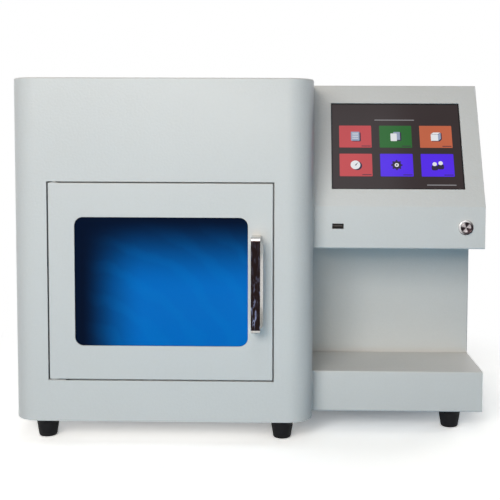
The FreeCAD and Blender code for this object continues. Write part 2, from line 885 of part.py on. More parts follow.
# Pivot brackets above and below the door, each with its pin pointing at the door.
PIVOTS = {
    "upper": ("opening_top + moving_gap", "jamb_room - moving_gap", "door_top - bush_length"),
    "lower": ("opening_bottom - jamb_room", "jamb_room + door_gap - bush_flange - moving_gap",
              "opening_bottom - jamb_room"),
}
brackets = []
pins = []
for end, (bottom, height, pin_bottom) in PIVOTS.items():
    plate = block(f"{end}_bracket_plate", "opening_left", "sheet", bottom,
                  "bracket_width", "pivot_inset + bush_radius", height)
    hole = rod(f"{end}_bracket_hole", "pivot_x", "pivot_y", bottom, "Z",
               "pivot_radius + pivot_play", height)
    brackets.append(cut(f"{end}_bracket", plate, hole))
    pins.append(rod(f"{end}_pin", "pivot_x", "pivot_y", pin_bottom, "Z",
                    "pivot_radius", "pivot_pin_length"))
group("pivot_brackets", brackets)
group("pivot_pins", pins)

# ---------------------------------------------------------------------------------------------
# Door: a folded pan with a window, and a second skin behind it that holds the pane.
door = new_body("door_panel")
pad(door, "XZ_Plane", "0", "door_depth", "door_left", "door_bottom", "door_width", "door_height")
front_rim = [name for name in matching_edges(door, y="0")]
round_edges(door, "door_edge_radius", front_rim)
pocket(door, "XZ_Plane", "sheet", "door_depth", "door_left + sheet", "door_bottom + sheet",
       "door_width - sheet - sheet", "door_height - sheet - sheet")
pocket(door, "XZ_Plane", "0", "sheet", "window_left", "window_bottom",
       "window_width", "window_height")


def window_corners(body):
    """The four short edges at the window's corners, through the sheet."""
    names = []
    for x in ("window_left", "window_left + window_width"):
        for z in ("window_bottom", "window_bottom + window_height"):
            names += matching_edges(body, x=x, z=z, along=ALONG_Y)
    return names


round_edges(door, "window_radius", window_corners(door))
for z in ("handle_low_screw", "handle_high_screw"):
    drill(door, "XZ_Plane", "0", "sheet", "handle_x", z, "handle_screw_radius + hole_play")
for z in ("door_bottom", "door_top - sheet"):
    drill(door, "XY_Plane", z, "sheet", "pivot_x", "pivot_y", "bush_radius")

# Rubber between the sheet and the pane.
gasket = new_body("window_gasket")
pad(gasket, "XZ_Plane", "sheet", "gasket_thickness", "window_left - pane_margin",
    "window_bottom - pane_margin", "window_width + pane_margin + pane_margin",
    "window_height + pane_margin + pane_margin")
pocket(gasket, "XZ_Plane", "sheet", "gasket_thickness", "window_left", "window_bottom",
       "window_width", "window_height")
round_edges(gasket, "window_radius", window_corners(gasket))

pane = new_body("window_pane")
pad(pane, "XZ_Plane", "pane_front", "pane_thickness", "window_left - pane_margin",
    "window_bottom - pane_margin", "window_width + pane_margin + pane_margin",
    "window_height + pane_margin + pane_margin")

# The door's inner skin, whose lip presses the pane forward.
inner_skin = new_body("door_inner_skin")
pad(inner_skin, "XZ_Plane", "retainer_front", "sheet",
    "door_left + panel_gap", "door_bottom + panel_gap",
    "door_width - panel_gap - panel_gap", "door_height - panel_gap - panel_gap")
pad(inner_skin, "XZ_Plane", "pane_back", "retainer_front - pane_back",
    "window_left - retainer_lip", "window_bottom - retainer_lip",
    "window_width + retainer_lip + retainer_lip", "window_height + retainer_lip + retainer_lip")
pocket(inner_skin, "XZ_Plane", "pane_back", "door_depth - pane_back",
       "window_left", "window_bottom", "window_width", "window_height")
round_edges(inner_skin, "window_radius", window_corners(inner_skin))
SKIN_SCREW_SPOTS = [
    (x, z)
    for x in ("door_left + seal_inset + seal_width + screw_inset", "handle_x - screw_inset")
    for z in ("window_bottom - screw_inset - screw_inset", "window_bottom + window_height"
              " + screw_inset + screw_inset")
]
for x, z in SKIN_SCREW_SPOTS:
    drill(inner_skin, "XZ_Plane", "retainer_front", "sheet", x, z, "screw_radius + hole_play")
door_screws = [
    join(f"skin_screw_{index}", [
        rod(f"skin_screw_head_{index}", x, "door_depth", z, "Y", "screw_head_radius",
            "screw_head"),
        rod(f"skin_screw_shank_{index}", x, "sheet", z, "Y", "screw_radius",
            "door_depth - sheet"),
    ])
    for index, (x, z) in enumerate(SKIN_SCREW_SPOTS)
]

# Foam seal on the door's back, round the chamber's mouth.
seal = new_body("door_seal")
pad(seal, "XZ_Plane", "door_depth", "seal_thickness",
    "door_left + seal_inset", "door_bottom + seal_inset",
    "door_width - seal_inset - seal_inset", "door_height - seal_inset - seal_inset")
pocket(seal, "XZ_Plane", "door_depth", "seal_thickness",
       "door_left + seal_inset + seal_width", "door_bottom + seal_inset + seal_width",
       "door_width - seal_inset - seal_inset - seal_width - seal_width",
       "door_height - seal_inset - seal_inset - seal_width - seal_width")

# Plastic bushes in the door's top and bottom returns.
bushes = []
BUSHES = {
    "upper": ("door_top - bush_length", "door_top"),
    "lower": ("door_bottom", "door_bottom - bush_flange"),
}
for end, (sleeve_bottom, flange_bottom) in BUSHES.items():
    sleeve = rod(f"{end}_bush_sleeve", "pivot_x", "pivot_y", sleeve_bottom, "Z",
                 "bush_radius", "bush_length")
    flange = rod(f"{end}_bush_flange", "pivot_x", "pivot_y", flange_bottom, "Z",
                 "bush_flange_radius", "bush_flange")
    solid = join(f"{end}_bush_solid", [sleeve, flange])
    bore_bottom = sleeve_bottom if end == "upper" else flange_bottom
    bore = rod(f"{end}_bush_bore", "pivot_x", "pivot_y", bore_bottom, "Z",
               "pivot_radius + pivot_play", "bush_length + bush_flange")
    bushes.append(cut(f"{end}_bush", solid, bore))
group("pivot_bushes", bushes)

# Bow handle, drawn from its front face.
handle = new_body("door_handle", y="0 - handle_reach")
pad(handle, "YZ_Plane", "handle_left", "handle_width",
    "0", "handle_bottom", "handle_reach", "handle_length")
bow_ends = matching_edges(handle, y="0", z="handle_bottom")
bow_ends += matching_edges(handle, y="0", z="handle_top")
round_edges(handle, "handle_end_radius", bow_ends)
pocket(handle, "YZ_Plane", "handle_left", "handle_width", "handle_bar",
       "handle_bottom + handle_post", "handle_reach", "handle_length - handle_post - handle_post")
for z in ("handle_low_screw", "handle_high_screw"):
    drill(handle, "XZ_Plane", "handle_reach - handle_screw_depth", "handle_screw_depth",
          "handle_x", z, "handle_screw_radius + hole_play")
door_screws += [
    join(f"handle_screw_{index}", [
        rod(f"handle_screw_head_{index}", "handle_x", "sheet", z, "Y", "screw_head_radius",
            "screw_head"),
        rod(f"handle_screw_shank_{index}", "handle_x", "sheet - handle_screw_depth", z, "Y",
            "handle_screw_radius", "handle_screw_depth"),
    ])
    for index, z in enumerate(("handle_low_screw", "handle_high_screw"))
]
group("door_screws", door_screws)

# Magnetic catch: a magnet on the liner's flange and a steel plate on the door.
keep(block("strike", "catch_left", "door_depth", "handle_top + catch_gap",
           "magnet_width", "sheet", "magnet_height"), "strike_plate")
keep(block("magnet", "catch_left", "door_depth + sheet + moving_gap",
           "handle_top + catch_gap", "magnet_width",
           "jamb_back - door_depth - sheet - moving_gap", "magnet_height"), "catch_magnet")

# ---------------------------------------------------------------------------------------------
# Sample chamber: a folded liner, open at the front, whose flange closes onto the surround. The
# flange stands up below the mouth as a lip that keeps spills in and gives the seal a face.
liner = new_body("chamber_liner")
pad(liner, "XZ_Plane", "jamb_back", "chamber_back + sheet - jamb_back",
    "chamber_left - sheet", "liner_under",
    "chamber_width + sheet + sheet", "chamber_height + sheet + sheet")
pad(liner, "XZ_Plane", "jamb_back", "sheet",
    "jamb_left", "jamb_bottom", "jamb_width", "jamb_height")
pocket(liner, "XZ_Plane", "jamb_back + sheet", "chamber_back - jamb_back - sheet",
       "chamber_left", "chamber_bottom", "chamber_width", "chamber_height")
pocket(liner, "XZ_Plane", "jamb_back", "sheet",
       "chamber_left", "mouth_bottom", "chamber_width", "chamber_top - mouth_bottom")
inside_bends = matching_edges(liner, x="chamber_left", y="chamber_back", along=ALONG_Z)
inside_bends += matching_edges(liner, x="chamber_right", y="chamber_back", along=ALONG_Z)
round_edges(liner, "chamber_bend", inside_bends)

# The deck is a second, removable floor that takes spills.
deck = new_body("cell_deck")
pad(deck, "XY_Plane", "chamber_bottom", "deck_sheet",
    "deck_left", "deck_front", "deck_width", "deck_depth")
DECK_SCREW_SPOTS = [
    (x, y)
    for x in ("deck_left + screw_inset", "deck_left + deck_width - screw_inset")
    for y in ("deck_front + screw_inset", "deck_front + deck_depth - screw_inset")
]
for floor, level, thickness in ((deck, "chamber_bottom", "deck_sheet"),
                                (liner, "liner_under", "sheet")):
    drill(floor, "XY_Plane", level, thickness, "cell_x", "cell_y", "neck_radius + neck_hole_play")
    for x, y in DECK_SCREW_SPOTS:
        drill(floor, "XY_Plane", level, thickness, x, y, "screw_radius + hole_play")
for index, (x, y) in enumerate(DECK_SCREW_SPOTS):
    head = rod(f"deck_screw_head_{index}", x, y, "chamber_bottom + deck_sheet", "Z",
               "screw_head_radius", "screw_head")
    shank = rod(f"deck_screw_shank_{index}", x, y, "liner_under - sheet", "Z",
                "screw_radius", "sheet + sheet + deck_sheet")
    case_screws.append(join(f"deck_screw_{index}", [head, shank]))

# ---------------------------------------------------------------------------------------------
# Measuring cell: an aluminium block with a bored neck that stands up through the deck. A small
# drilling in its back lets the gas in, and a deeper one beside it takes the probe.
cell = new_body("cell_block")
pad(cell, "XY_Plane", "base_top", "liner_under - base_top",
    "cell_left", "cell_front", "cell_side", "cell_side")
pad_round(cell, "XY_Plane", "liner_under", "neck_height", "cell_x", "cell_y", "neck_radius")
drill(cell, "XY_Plane", "base_top + cell_floor", "neck_top - base_top - cell_floor",
      "cell_x", "cell_y", "cell_bore")
drill(cell, "XZ_Plane", "cell_y", "cell_half", "cell_x", "line_height", "line_bore")
drill(cell, "XZ_Plane", "cell_back - probe_depth", "probe_depth",
      "cell_x + probe_offset", "line_height", "probe_radius + hole_play")

# Thin steel cup that holds the powder or solid.
cup = new_body("sample_cup", x="cell_x", y="cell_y", z="cup_bottom")
revolve(cup, "XZ_Plane", [
    ("0", "0"), ("cell_bore - cup_play", "0"), ("cell_bore - cup_play", "cup_height"),
    ("cell_bore - cup_play - cup_wall", "cup_height"),
    ("cell_bore - cup_play - cup_wall", "cup_wall"), ("0", "cup_wall"),
])

# Cap: a plug that slides in the neck without turning, sealed by a ring, and a knurled knob that
# turns on the plug's stub and drives it down.
plug = new_body("cap_plug", x="cell_x", y="cell_y")
revolve(plug, "XZ_Plane", [
    ("0", "plug_bottom"),
    ("cell_bore - plug_play", "plug_bottom"),
    ("cell_bore - plug_play", "ring_middle - ring_half"),
    ("ring_seat", "ring_middle - ring_half"),
    ("ring_seat", "ring_middle + ring_half"),
    ("cell_bore - plug_play", "ring_middle + ring_half"),
    ("cell_bore - plug_play", "neck_top + moving_gap"),
    ("plug_flange_radius", "neck_top + moving_gap"),
    ("plug_flange_radius", "plug_top"),
    ("stub_radius", "plug_top"),
    ("stub_radius", "knob_over + pivot_play"),
    ("0", "knob_over + pivot_play"),
])
ring = doc.addObject("Part::Torus", "seal_ring")
bind(ring, Radius1="ring_path", Radius2="ring_section")
place(ring, "cell_x", "cell_y", "ring_middle")
keep(ring, "cap_seal_ring")

knob = new_body("cap_knob", x="cell_x", y="cell_y")
revolve(knob, "XZ_Plane", [
    ("stub_radius + pivot_play", "knob_under"),
    ("neck_radius + knob_play", "knob_under"),
    ("neck_radius + knob_play", "knob_under - knob_skirt"),
    ("knob_radius", "knob_under - knob_skirt"),
    ("knob_radius", "knob_over"),
    ("stub_radius + pivot_play", "knob_over"),
])
grip = drill(knob, "XY_Plane", "knob_under - knob_skirt", "knob_top + knob_skirt",
             "knob_radius + grip_radius - grip_bite", "0", "grip_radius")
repeat_round(knob, grip, "Z_Axis", "grip_count")

# The disc that keeps the knob on the stub.
keep(rod("retaining_disc", "cell_x", "cell_y", "knob_over + pivot_play", "Z",
         "cap_button_radius", "cap_button"), "cap_button")

keep(join("probe", [
    rod("probe_tip", "cell_x + probe_offset", "cell_back - probe_depth", "line_height", "Y",
        "probe_radius", "probe_length"),
    rod("probe_collar", "cell_x + probe_offset", "cell_back", "line_height", "Y",
        "probe_collar_radius", "probe_collar"),
]), "temperature_probe")

# ---------------------------------------------------------------------------------------------
# Gas circuit on the base plate: reference chamber, manifold, valves, sensor, lines, fittings.
vessel = new_body("reference_chamber")
pad(vessel, "XY_Plane", "base_top", "vessel_height",
    "vessel_left", "vessel_front", "vessel_width", "vessel_length")
drill(vessel, "XZ_Plane", "vessel_back - vessel_bore_depth", "vessel_bore_depth",
      "vessel_x", "line_height", "vessel_bore")

vessel_plug = new_body("reference_plug", x="vessel_x", y="vessel_back", z="line_height")
revolve(vessel_plug, "XY_Plane", [
    ("line_bore", "0 - vessel_plug_spigot"),
    ("vessel_bore - plug_play", "0 - vessel_plug_spigot"),
    ("vessel_bore - plug_play", "0"),
    ("vessel_plug_radius", "0"),
    ("vessel_plug_radius", "vessel_plug"),
    ("line_bore", "vessel_plug"),
])

# One long gallery joins the ports, the valves above it and the sensor at its end.
manifold = new_body("gas_manifold")
pad(manifold, "XY_Plane", "base_top", "manifold_height",
    "manifold_left", "manifold_front", "manifold_width", "manifold_depth")
drill(manifold, "YZ_Plane", "manifold_left", "manifold_width - screw_inset",
      "manifold_middle", "line_height", "line_bore")
for x, start in (("cell_x", "manifold_front"), ("vessel_x", "manifold_front"),
                 ("inlet_line_x", "manifold_middle"), ("vent_line_x", "manifold_middle")):
    drill(manifold, "XZ_Plane", start, "manifold_half", x, "line_height", "line_bore")

valve_bodies = []
valve_coils = []
for index in range(SIZES["valve_count"]):
    x = "valve_first" + " + valve_pitch" * index
    drill(manifold, "XY_Plane", "line_height", "manifold_top - line_height",
          x, "manifold_middle", "line_bore")
    seat = block(f"valve_seat_{index}", f"{x} - valve_half", "manifold_middle - valve_half",
                 "manifold_top", "valve_side", "valve_side", "valve_base")
    stem = rod(f"valve_stem_{index}", x, "manifold_middle", "manifold_top + valve_base", "Z",
               "valve_stem_radius", "valve_stem")
    valve_bodies.append(join(f"valve_{index}", [seat, stem]))
    winding = block(f"coil_block_{index}", f"{x} - coil_half", "manifold_middle - coil_half",
                    "manifold_top + valve_base + seat_gap", "coil_width", "coil_width",
                    "coil_height")
    hole = rod(f"coil_hole_{index}", x, "manifold_middle", "manifold_top + valve_base", "Z",
               "valve_stem_radius + hole_play", "valve_stem")
    valve_coils.append(cut(f"coil_{index}", winding, hole))
group("valve_bodies", valve_bodies)
group("valve_coils", valve_coils)

keep(join("sensor", [
    rod("sensor_case", "manifold_left - sensor_length", "manifold_middle", "line_height",
        "X", "sensor_radius", "sensor_length"),
    rod("sensor_plug", "manifold_left - sensor_length - sensor_plug", "manifold_middle",
        "line_height", "X", "sensor_plug_radius", "sensor_plug"),
]), "pressure_sensor")

REAR_LINE = "rear_inside - fitting_inside - manifold_back"
GAS_LINES = {
    "cell_line": ("cell_x", "cell_back", "manifold_front - cell_back"),
    "reference_line": ("vessel_x", "vessel_back + vessel_plug",
                       "manifold_front - vessel_back - vessel_plug"),
    "inlet_line": ("inlet_line_x", "manifold_back", REAR_LINE),
    "vent_line": ("vent_line_x", "manifold_back", REAR_LINE),
}
group("gas_lines", [
    pipe(name, x, y, "line_height", "Y", "line_radius", "line_bore", length)
    for name, (x, y, length) in GAS_LINES.items()
])


def hexagon(name, x, y, z, axis, radius, length):
    """A six-sided bar from its base point along +axis; radius is to a corner."""
    prism = doc.addObject("Part::Prism", name)
    prism.Polygon = 6
    bind(prism, Circumradius=radius, Height=length)
    prism.Placement = FreeCAD.Placement(Vector(), TURNS[axis])
    place(prism, x, y, z)
    return prism


def lock_nut(name, x, y, z, axis, radius, bore, length):
    """A hexagon nut."""
    body = hexagon(name + "_hexagon", x, y, z, axis, radius, length)
    return cut(name, body, rod(name + "_bore", x, y, z, axis, bore, length))


def rear_fitting(name, x, outlet_radius):
    """A bulkhead fitting through the rear panel, with a collar and an outlet outside."""
    inside = rod(name + "_inside", x, "rear_inside - fitting_inside", "line_height", "Y",
                 "fitting_radius_out", "fitting_inside + sheet")
    collar = hexagon(name + "_collar", x, "cabinet_depth", "line_height", "Y",
                     "fitting_radius", "fitting_collar")
    outlet = rod(name + "_outlet", x, "cabinet_depth", "line_height", "Y",
                 outlet_radius, "fitting_reach")
    bore = rod(name + "_bore", x, "rear_inside - fitting_inside", "line_height", "Y",
               "fitting_bore", "fitting_inside + sheet + fitting_reach")
    return cut(name, join(name + "_solid", [inside, collar, outlet]), bore)


group("gas_fittings", [
    rear_fitting("inlet_fitting", "inlet_line_x", "fitting_radius_out"),
    rear_fitting("vent_fitting", "vent_line_x", "fitting_radius_out + fitting_outlet_step"),
])
lock_nuts = [
    lock_nut(f"{line}_nut", line, "rear_inside - fitting_collar", "line_height", "Y",
             "fitting_radius", "fitting_radius_out + hole_play", "fitting_collar")
    for line in ("inlet_line_x", "vent_line_x")
]

# ---------------------------------------------------------------------------------------------
# Power: supply, and a mains inlet with a fuse drawer above its mouth.
supply = new_body("power_supply")
pad(supply, "XY_Plane", "base_top", "supply_height", "supply_left",
    "rear_inside - supply_back_gap - supply_depth", "supply_width", "supply_depth")
supply_slot = pocket(supply, "XY_Plane", "base_top + supply_height - sheet", "sheet",
                     "supply_left + screw_inset", "rear_inside - supply_depth",
                     "slot_width", "slot_length")
repeat_along(supply, supply_slot, "X_Axis", "slot_count", "slot_pitch")

mains = new_body("mains_inlet")
pad(mains, "XZ_Plane", "rear_inside - mains_body_depth", "mains_body_depth + sheet",
    "mains_body_left", "mains_body_bottom", "mains_body_width", "mains_body_height")
pad(mains, "XZ_Plane", "cabinet_depth", "mains_flange",
    "mains_left", "mains_bottom", "mains_width", "mains_height")
pocket(mains, "XZ_Plane", "mains_face - mains_mouth_depth", "mains_mouth_depth",
       "mains_mouth_left", "mains_mouth_bottom", "mains_mouth_width", "mains_mouth_height")
pocket(mains, "XZ_Plane", "mains_face - drawer_depth", "drawer_depth",
       "drawer_left - drawer_play", "drawer_bottom - drawer_play",
       "drawer_width + drawer_play + drawer_play", "drawer_height + drawer_play + drawer_play")
group("mains_pins", [
    block(f"mains_pin_{index}", x, "mains_face - mains_mouth_depth", z,
          "mains_pin_thickness", "mains_mouth_depth - mains_flange", "mains_pin_height")
    for index, (x, z) in enumerate([
        ("mains_pin_left - mains_pin_spread", "mains_pin_bottom"),
        ("mains_pin_left", "mains_pin_bottom + mains_earth_rise"),
        ("mains_pin_left + mains_pin_spread", "mains_pin_bottom"),
    ])
])
drawer = new_body("fuse_drawer")
pad(drawer, "XZ_Plane", "mains_face - drawer_depth + drawer_play",
    "drawer_depth - drawer_play + drawer_lip",
    "drawer_left", "drawer_bottom", "drawer_width", "drawer_height")

# Cooling fan: a frame with a cross of arms and a pin, the rotor that turns on the pin, and a
# wire guard outside the rear panel.
fan = new_body("fan_frame", x="fan_x", y="fan_front", z="fan_z")
pad(fan, "XZ_Plane", "0", "fan_depth", "0 - fan_half", "0 - fan_half", "fan_size", "fan_size")
drill(fan, "XZ_Plane", "0", "fan_depth", "0", "0", "fan_bore")
pad(fan, "XZ_Plane", "0", "fan_arm_depth",
    "0 - fan_arm_half", "0 - fan_half", "fan_arm_width", "fan_size")
pad(fan, "XZ_Plane", "0", "fan_arm_depth",
    "0 - fan_half", "0 - fan_arm_half", "fan_size", "fan_arm_width")
pad_round(fan, "XZ_Plane", "0", "fan_arm_depth", "0", "0", "fan_hub_radius")
pad_round(fan, "XZ_Plane", "fan_arm_depth", "fan_hub_depth", "0", "0", "fan_pin_radius")
for x in ("0 - fan_hole", "fan_hole"):
    for z in ("0 - fan_hole", "fan_hole"):
        drill(fan, "XZ_Plane", "0", "fan_depth", x, z, "screw_radius + hole_play")

rotor = new_body("fan_rotor", x="fan_x", y="fan_rotor_front", z="fan_z")
pad_round(rotor, "XZ_Plane", "0", "fan_hub_depth", "0", "0", "fan_hub_radius")
blade = pad_outline(rotor, "XY_Plane", "fan_blade_start", "fan_blade_length", [
    ("0 - fan_blade_sweep", "0"),
    ("0 - fan_blade_sweep + fan_blade_thickness", "0"),
    ("fan_blade_sweep", "fan_hub_depth"),
    ("fan_blade_sweep - fan_blade_thickness", "fan_hub_depth"),
])
repeat_round(rotor, blade, "Y_Axis", "fan_blade_count")
drill(rotor, "XZ_Plane", "0", "fan_hub_depth", "0", "0", "fan_pin_radius + fan_pin_play")

guard_parts = []
for index in range(SIZES["guard_ring_count"]):
    wire = doc.addObject("Part::Torus", f"guard_ring_{index}")
    wire.Placement = FreeCAD.Placement(Vector(), TURNS["Y"])
    bind(wire, Radius1=f"fan_bore - {index} * guard_ring_step", Radius2="guard_wire / 2")
    place(wire, "fan_x", "cabinet_depth + guard_wire", "fan_z")
    guard_parts.append(wire)
for side, turn in (("-", 45), ("+", 135)):
    spoke = doc.addObject("Part::Cylinder", "guard_spoke")
    bind(spoke, Radius="guard_wire / 2", Height="fan_hole_pitch * sqrt( 2 )")
    spoke.Placement = FreeCAD.Placement(Vector(), Rotation(ALONG_Y, turn))
    place(spoke, "fan_x - fan_hole", "cabinet_depth + guard_wire", f"fan_z {side} fan_hole")
    guard_parts.append(spoke)
guard_holes = []
for x_side in "-+":
    for z_side in "-+":
        x = f"fan_x {x_side} fan_hole"
        z = f"fan_z {z_side} fan_hole"
        guard_parts.append(rod("guard_ear", x, "cabinet_depth", z, "Y",
                               "screw_head_radius", "guard_wire + guard_wire"))
        guard_holes.append(rod("guard_hole", x, "cabinet_depth", z, "Y",
                               "screw_radius + hole_play", "guard_wire + guard_wire"))
        head = rod("fan_screw_head", x, "cabinet_depth + guard_wire + guard_wire", z, "Y",
                   "screw_head_radius", "screw_head")
        shank = rod("fan_screw_shank", x, "rear_inside - screw_length", z, "Y",
                    "screw_radius", "screw_length + sheet + guard_wire + guard_wire")
        case_screws.append(join("fan_screw", [head, shank]))
keep(cut("guard", join("guard_wires", guard_parts), join("guard_hole_set", guard_holes)),
     "fan_guard")

# ---------------------------------------------------------------------------------------------
# Control board on four standoffs from the cabinet's right wall.
board = new_body("control_board")
pad(board, "YZ_Plane", "board_face - board_thickness", "board_thickness",
    "board_front", "board_bottom", "board_depth", "board_height")
chip = pad(board, "YZ_Plane", "board_face - board_thickness - chip_height", "chip_height",
           "board_front + chip_side", "board_bottom + chip_rise", "chip_side", "chip_side")
repeat_along(board, chip, "Y_Axis", "chip_count", "chip_pitch")
BOARD_SPOTS = [
    (y, z)
    for y in ("board_front + board_inset", "board_front + board_depth - board_inset")
    for z in ("board_bottom + board_inset", "board_bottom + board_height - board_inset")
]
group("board_standoffs", [
    rod(f"board_standoff_{index}", "board_face", y, z, "X", "standoff_radius", "board_standoff")
    for index, (y, z) in enumerate(BOARD_SPOTS)
])

# ---------------------------------------------------------------------------------------------
# Wing: a side plate bolted to the cabinet, three folded boxes that close onto it, and one rear
# panel behind them all.
side_plate = new_body("wing_side_plate")
pad_outline(side_plate, "YZ_Plane", "cabinet_width", "sheet", [
    ("wing_front", "foot_height"), ("rear_inside", "foot_height"),
    ("rear_inside", "cabinet_top"), ("slope_top", "cabinet_top"),
    ("wing_front", "crease_height"), ("wing_front", "console_bottom"),
    ("niche_back", "console_bottom"), ("niche_back", "shelf_top"), ("wing_front", "shelf_top"),
])
wing_bolts = []
for y in ("wing_bolt_front", "wing_bolt_rear"):
    for z in ("wing_bolt_low", "wing_bolt_high"):
        drill(side_plate, "YZ_Plane", "cabinet_width", "sheet", y, z,
              "wing_bolt_radius + hole_play")
        head = rod("wing_bolt_head", "cabinet_width - sheet - screw_head", y, z, "X",
                   "screw_head_radius", "screw_head")
        shank = rod("wing_bolt_shank", "cabinet_width - sheet", y, z, "X",
                    "wing_bolt_radius", "screw_length")
        wing_bolts.append(join("wing_bolt", [head, shank]))
        lock_nuts.append(lock_nut("wing_nut", "wing_left", y, z, "X", "wing_nut_radius",
                                  "wing_bolt_radius + hole_play", "wing_nut"))
group("wing_bolts", wing_bolts)


def soften_folds(body, corners):
    """Round the long outside folds of a box at the given (y, z) corners."""
    names = []
    for y, z in corners:
        names += matching_edges(body, y=y, z=z, along=ALONG_X)
    round_edges(body, "bend_radius", names)


console = new_body("console_shell")
pad_outline(console, "YZ_Plane", "wing_left", "wing_width - sheet", [
    ("wing_front", "console_bottom"), ("wing_front", "crease_height"),
    ("slope_top", "cabinet_top"), ("rear_inside", "cabinet_top"),
    ("rear_inside", "console_bottom"),
])
soften_folds(console, [("wing_front", "console_bottom"), ("wing_front", "crease_height"),
                       ("slope_top", "cabinet_top")])
pocket_outline(console, "YZ_Plane", "wing_left", "wing_width - sheet - sheet", [
    ("wing_front + sheet", "console_bottom + sheet"), ("wing_front + sheet", "inner_crease"),
    ("inner_slope_top", "cabinet_top - sheet"), ("cabinet_depth", "cabinet_top - sheet"),
    ("cabinet_depth", "console_bottom + sheet"),
])
pocket(console, "slope", "0", "sheet", "display_left", "display_rise",
       "display_width", "display_height")
pocket(console, "XZ_Plane", "wing_front", "sheet",
       "port_left - port_wall - seat_gap", "port_bottom - port_wall - seat_gap",
       "port_width + port_wall + port_wall + seat_gap + seat_gap",
       "port_height + port_wall + port_wall + seat_gap + seat_gap")
drill(console, "XZ_Plane", "wing_front", "sheet", "button_x", "button_z",
      "button_barrel_radius + hole_play")

niche = new_body("niche_panel")
pad(niche, "XY_Plane", "shelf_top", "console_bottom - shelf_top",
    "wing_left", "niche_back", "wing_width - sheet", "rear_inside - niche_back")
round_edges(niche, "bend_radius",
            matching_edges(niche, x="wing_right", y="niche_back", along=ALONG_Z))
pocket(niche, "XY_Plane", "shelf_top", "console_bottom - shelf_top",
       "wing_left", "niche_back + sheet", "wing_width - sheet - sheet", "cabinet_depth - niche_back")

shelf = new_body("shelf_box")
pad(shelf, "YZ_Plane", "wing_left", "wing_width - sheet",
    "wing_front", "foot_height", "rear_inside - wing_front", "shelf_top - foot_height")
soften_folds(shelf, [("wing_front", "foot_height"), ("wing_front", "shelf_top")])
pocket(shelf, "YZ_Plane", "wing_left", "wing_width - sheet - sheet",
       "wing_front + sheet", "foot_height + sheet", "cabinet_depth - wing_front",
       "shelf_top - foot_height - sheet - sheet")
for x, y in FOOT_SPOTS[4:]:
    drill(shelf, "XY_Plane", "foot_height", "sheet", x, y, "screw_radius + hole_play")

wing_rear = new_body("wing_rear_panel")
pad(wing_rear, "XZ_Plane", "rear_inside", "sheet", "cabinet_width + seat_gap", "foot_height",
    "wing_width - seat_gap", "cabinet_top - foot_height")
WING_SCREW_SPOTS = [
    (x, z)
    for x in ("wing_left + block_half", "wing_right - sheet - block_half")
    for z in ("foot_height + sheet + block_half", "cabinet_top - sheet - block_half")
]
for index, (x, z) in enumerate(WING_SCREW_SPOTS):
    drill(wing_rear, "XZ_Plane", "rear_inside", "sheet", x, z, "screw_radius + hole_play")
    cube = block(f"wing_block_{index}", f"{x} - block_half", "rear_inside - corner_block",
                 f"{z} - block_half", "corner_block", "corner_block", "corner_block")
    hole = rod(f"wing_block_hole_{index}", x, "rear_inside - corner_block", z, "Y",
               "screw_radius + hole_play", "corner_block")
    corner_blocks.append(cut(f"wing_block_cut_{index}", cube, hole))
    case_screws.append(rear_screw(f"wing_rear_screw_{index}", x, "cabinet_depth", z))
group("corner_blocks", corner_blocks)
group("case_screws", case_screws)

# ---------------------------------------------------------------------------------------------
# Display: glass behind the opening, the panel behind the glass, and an angle bracket at each
# side that holds both.
glass = new_body("touch_glass")
pad(glass, "slope", "sheet", "glass_thickness",
    "glass_left", "glass_low", "glass_width", "glass_height")
panel = new_body("display_panel")
pad(panel, "slope", "panel_front", "panel_thickness",
    "display_left", "display_rise", "display_width", "display_height")
display_brackets = []
for side, leg_left, flange_left in (
        ("left", "bracket_left", "bracket_left"),
        ("right", "bracket_right", "bracket_right + bracket_sheet - bracket_flange")):
    bracket = loose_body(f"{side}_display_bracket")
    pad(bracket, "slope", "panel_back", "bracket_sheet",
        flange_left, "display_rise", "bracket_flange", "display_height")
    pad(bracket, "slope", "sheet", "panel_back - sheet",
        leg_left, "display_rise", "bracket_sheet", "display_height")
    display_brackets.append(bracket)
group("display_brackets", display_brackets)

# ---------------------------------------------------------------------------------------------
# Data port: a folded steel shell with a plastic tongue, closed at its back.
port = new_body("port_shell")
pad(port, "XZ_Plane", "wing_front", "port_depth",
    "port_left - port_wall", "port_bottom - port_wall",
    "port_width + port_wall + port_wall", "port_height + port_wall + port_wall")
pocket(port, "XZ_Plane", "wing_front", "port_depth",
       "port_left", "port_bottom", "port_width", "port_height")
tongue = new_body("port_tongue")
pad(tongue, "XZ_Plane", "wing_front + port_depth - port_plug_depth", "port_plug_depth",
    "port_left", "port_bottom", "port_width", "port_height")
pad(tongue, "XZ_Plane", "wing_front + tongue_setback",
    "port_depth - port_plug_depth - tongue_setback",
    "port_left + tongue_margin", "port_bottom + tongue_rise",
    "port_width - tongue_margin - tongue_margin", "tongue_thickness")

# Power button: a metal body with a round bezel, a cap that slides in it, and its spring, drawn
# at the length that it has when the cap is pressed home.
button = new_body("button_body", x="button_x", y="wing_front", z="button_z")
revolve(button, "XY_Plane", [
    ("button_bore", "0 - button_flange"),
    ("button_flange_radius - button_chamfer", "0 - button_flange"),
    ("button_flange_radius", "0 - button_flange + button_chamfer"),
    ("button_flange_radius", "0"),
    ("button_barrel_radius", "0"),
    ("button_barrel_radius", "button_barrel"),
    ("0", "button_barrel"),
    ("0", "button_floor"),
    ("button_bore", "button_floor"),
])
button_cap = new_body("button_cap", x="button_x", y="wing_front", z="button_z")
revolve(button_cap, "XY_Plane", [
    ("0", "button_face"),
    ("button_cap_radius - button_cap_chamfer", "button_face"),
    ("button_cap_radius", "button_face + button_cap_chamfer"),
    ("button_cap_radius", "button_cap_back"),
    ("button_hollow_radius", "button_cap_back"),
    ("button_hollow_radius", "button_hollow_front"),
    ("0", "button_hollow_front"),
])
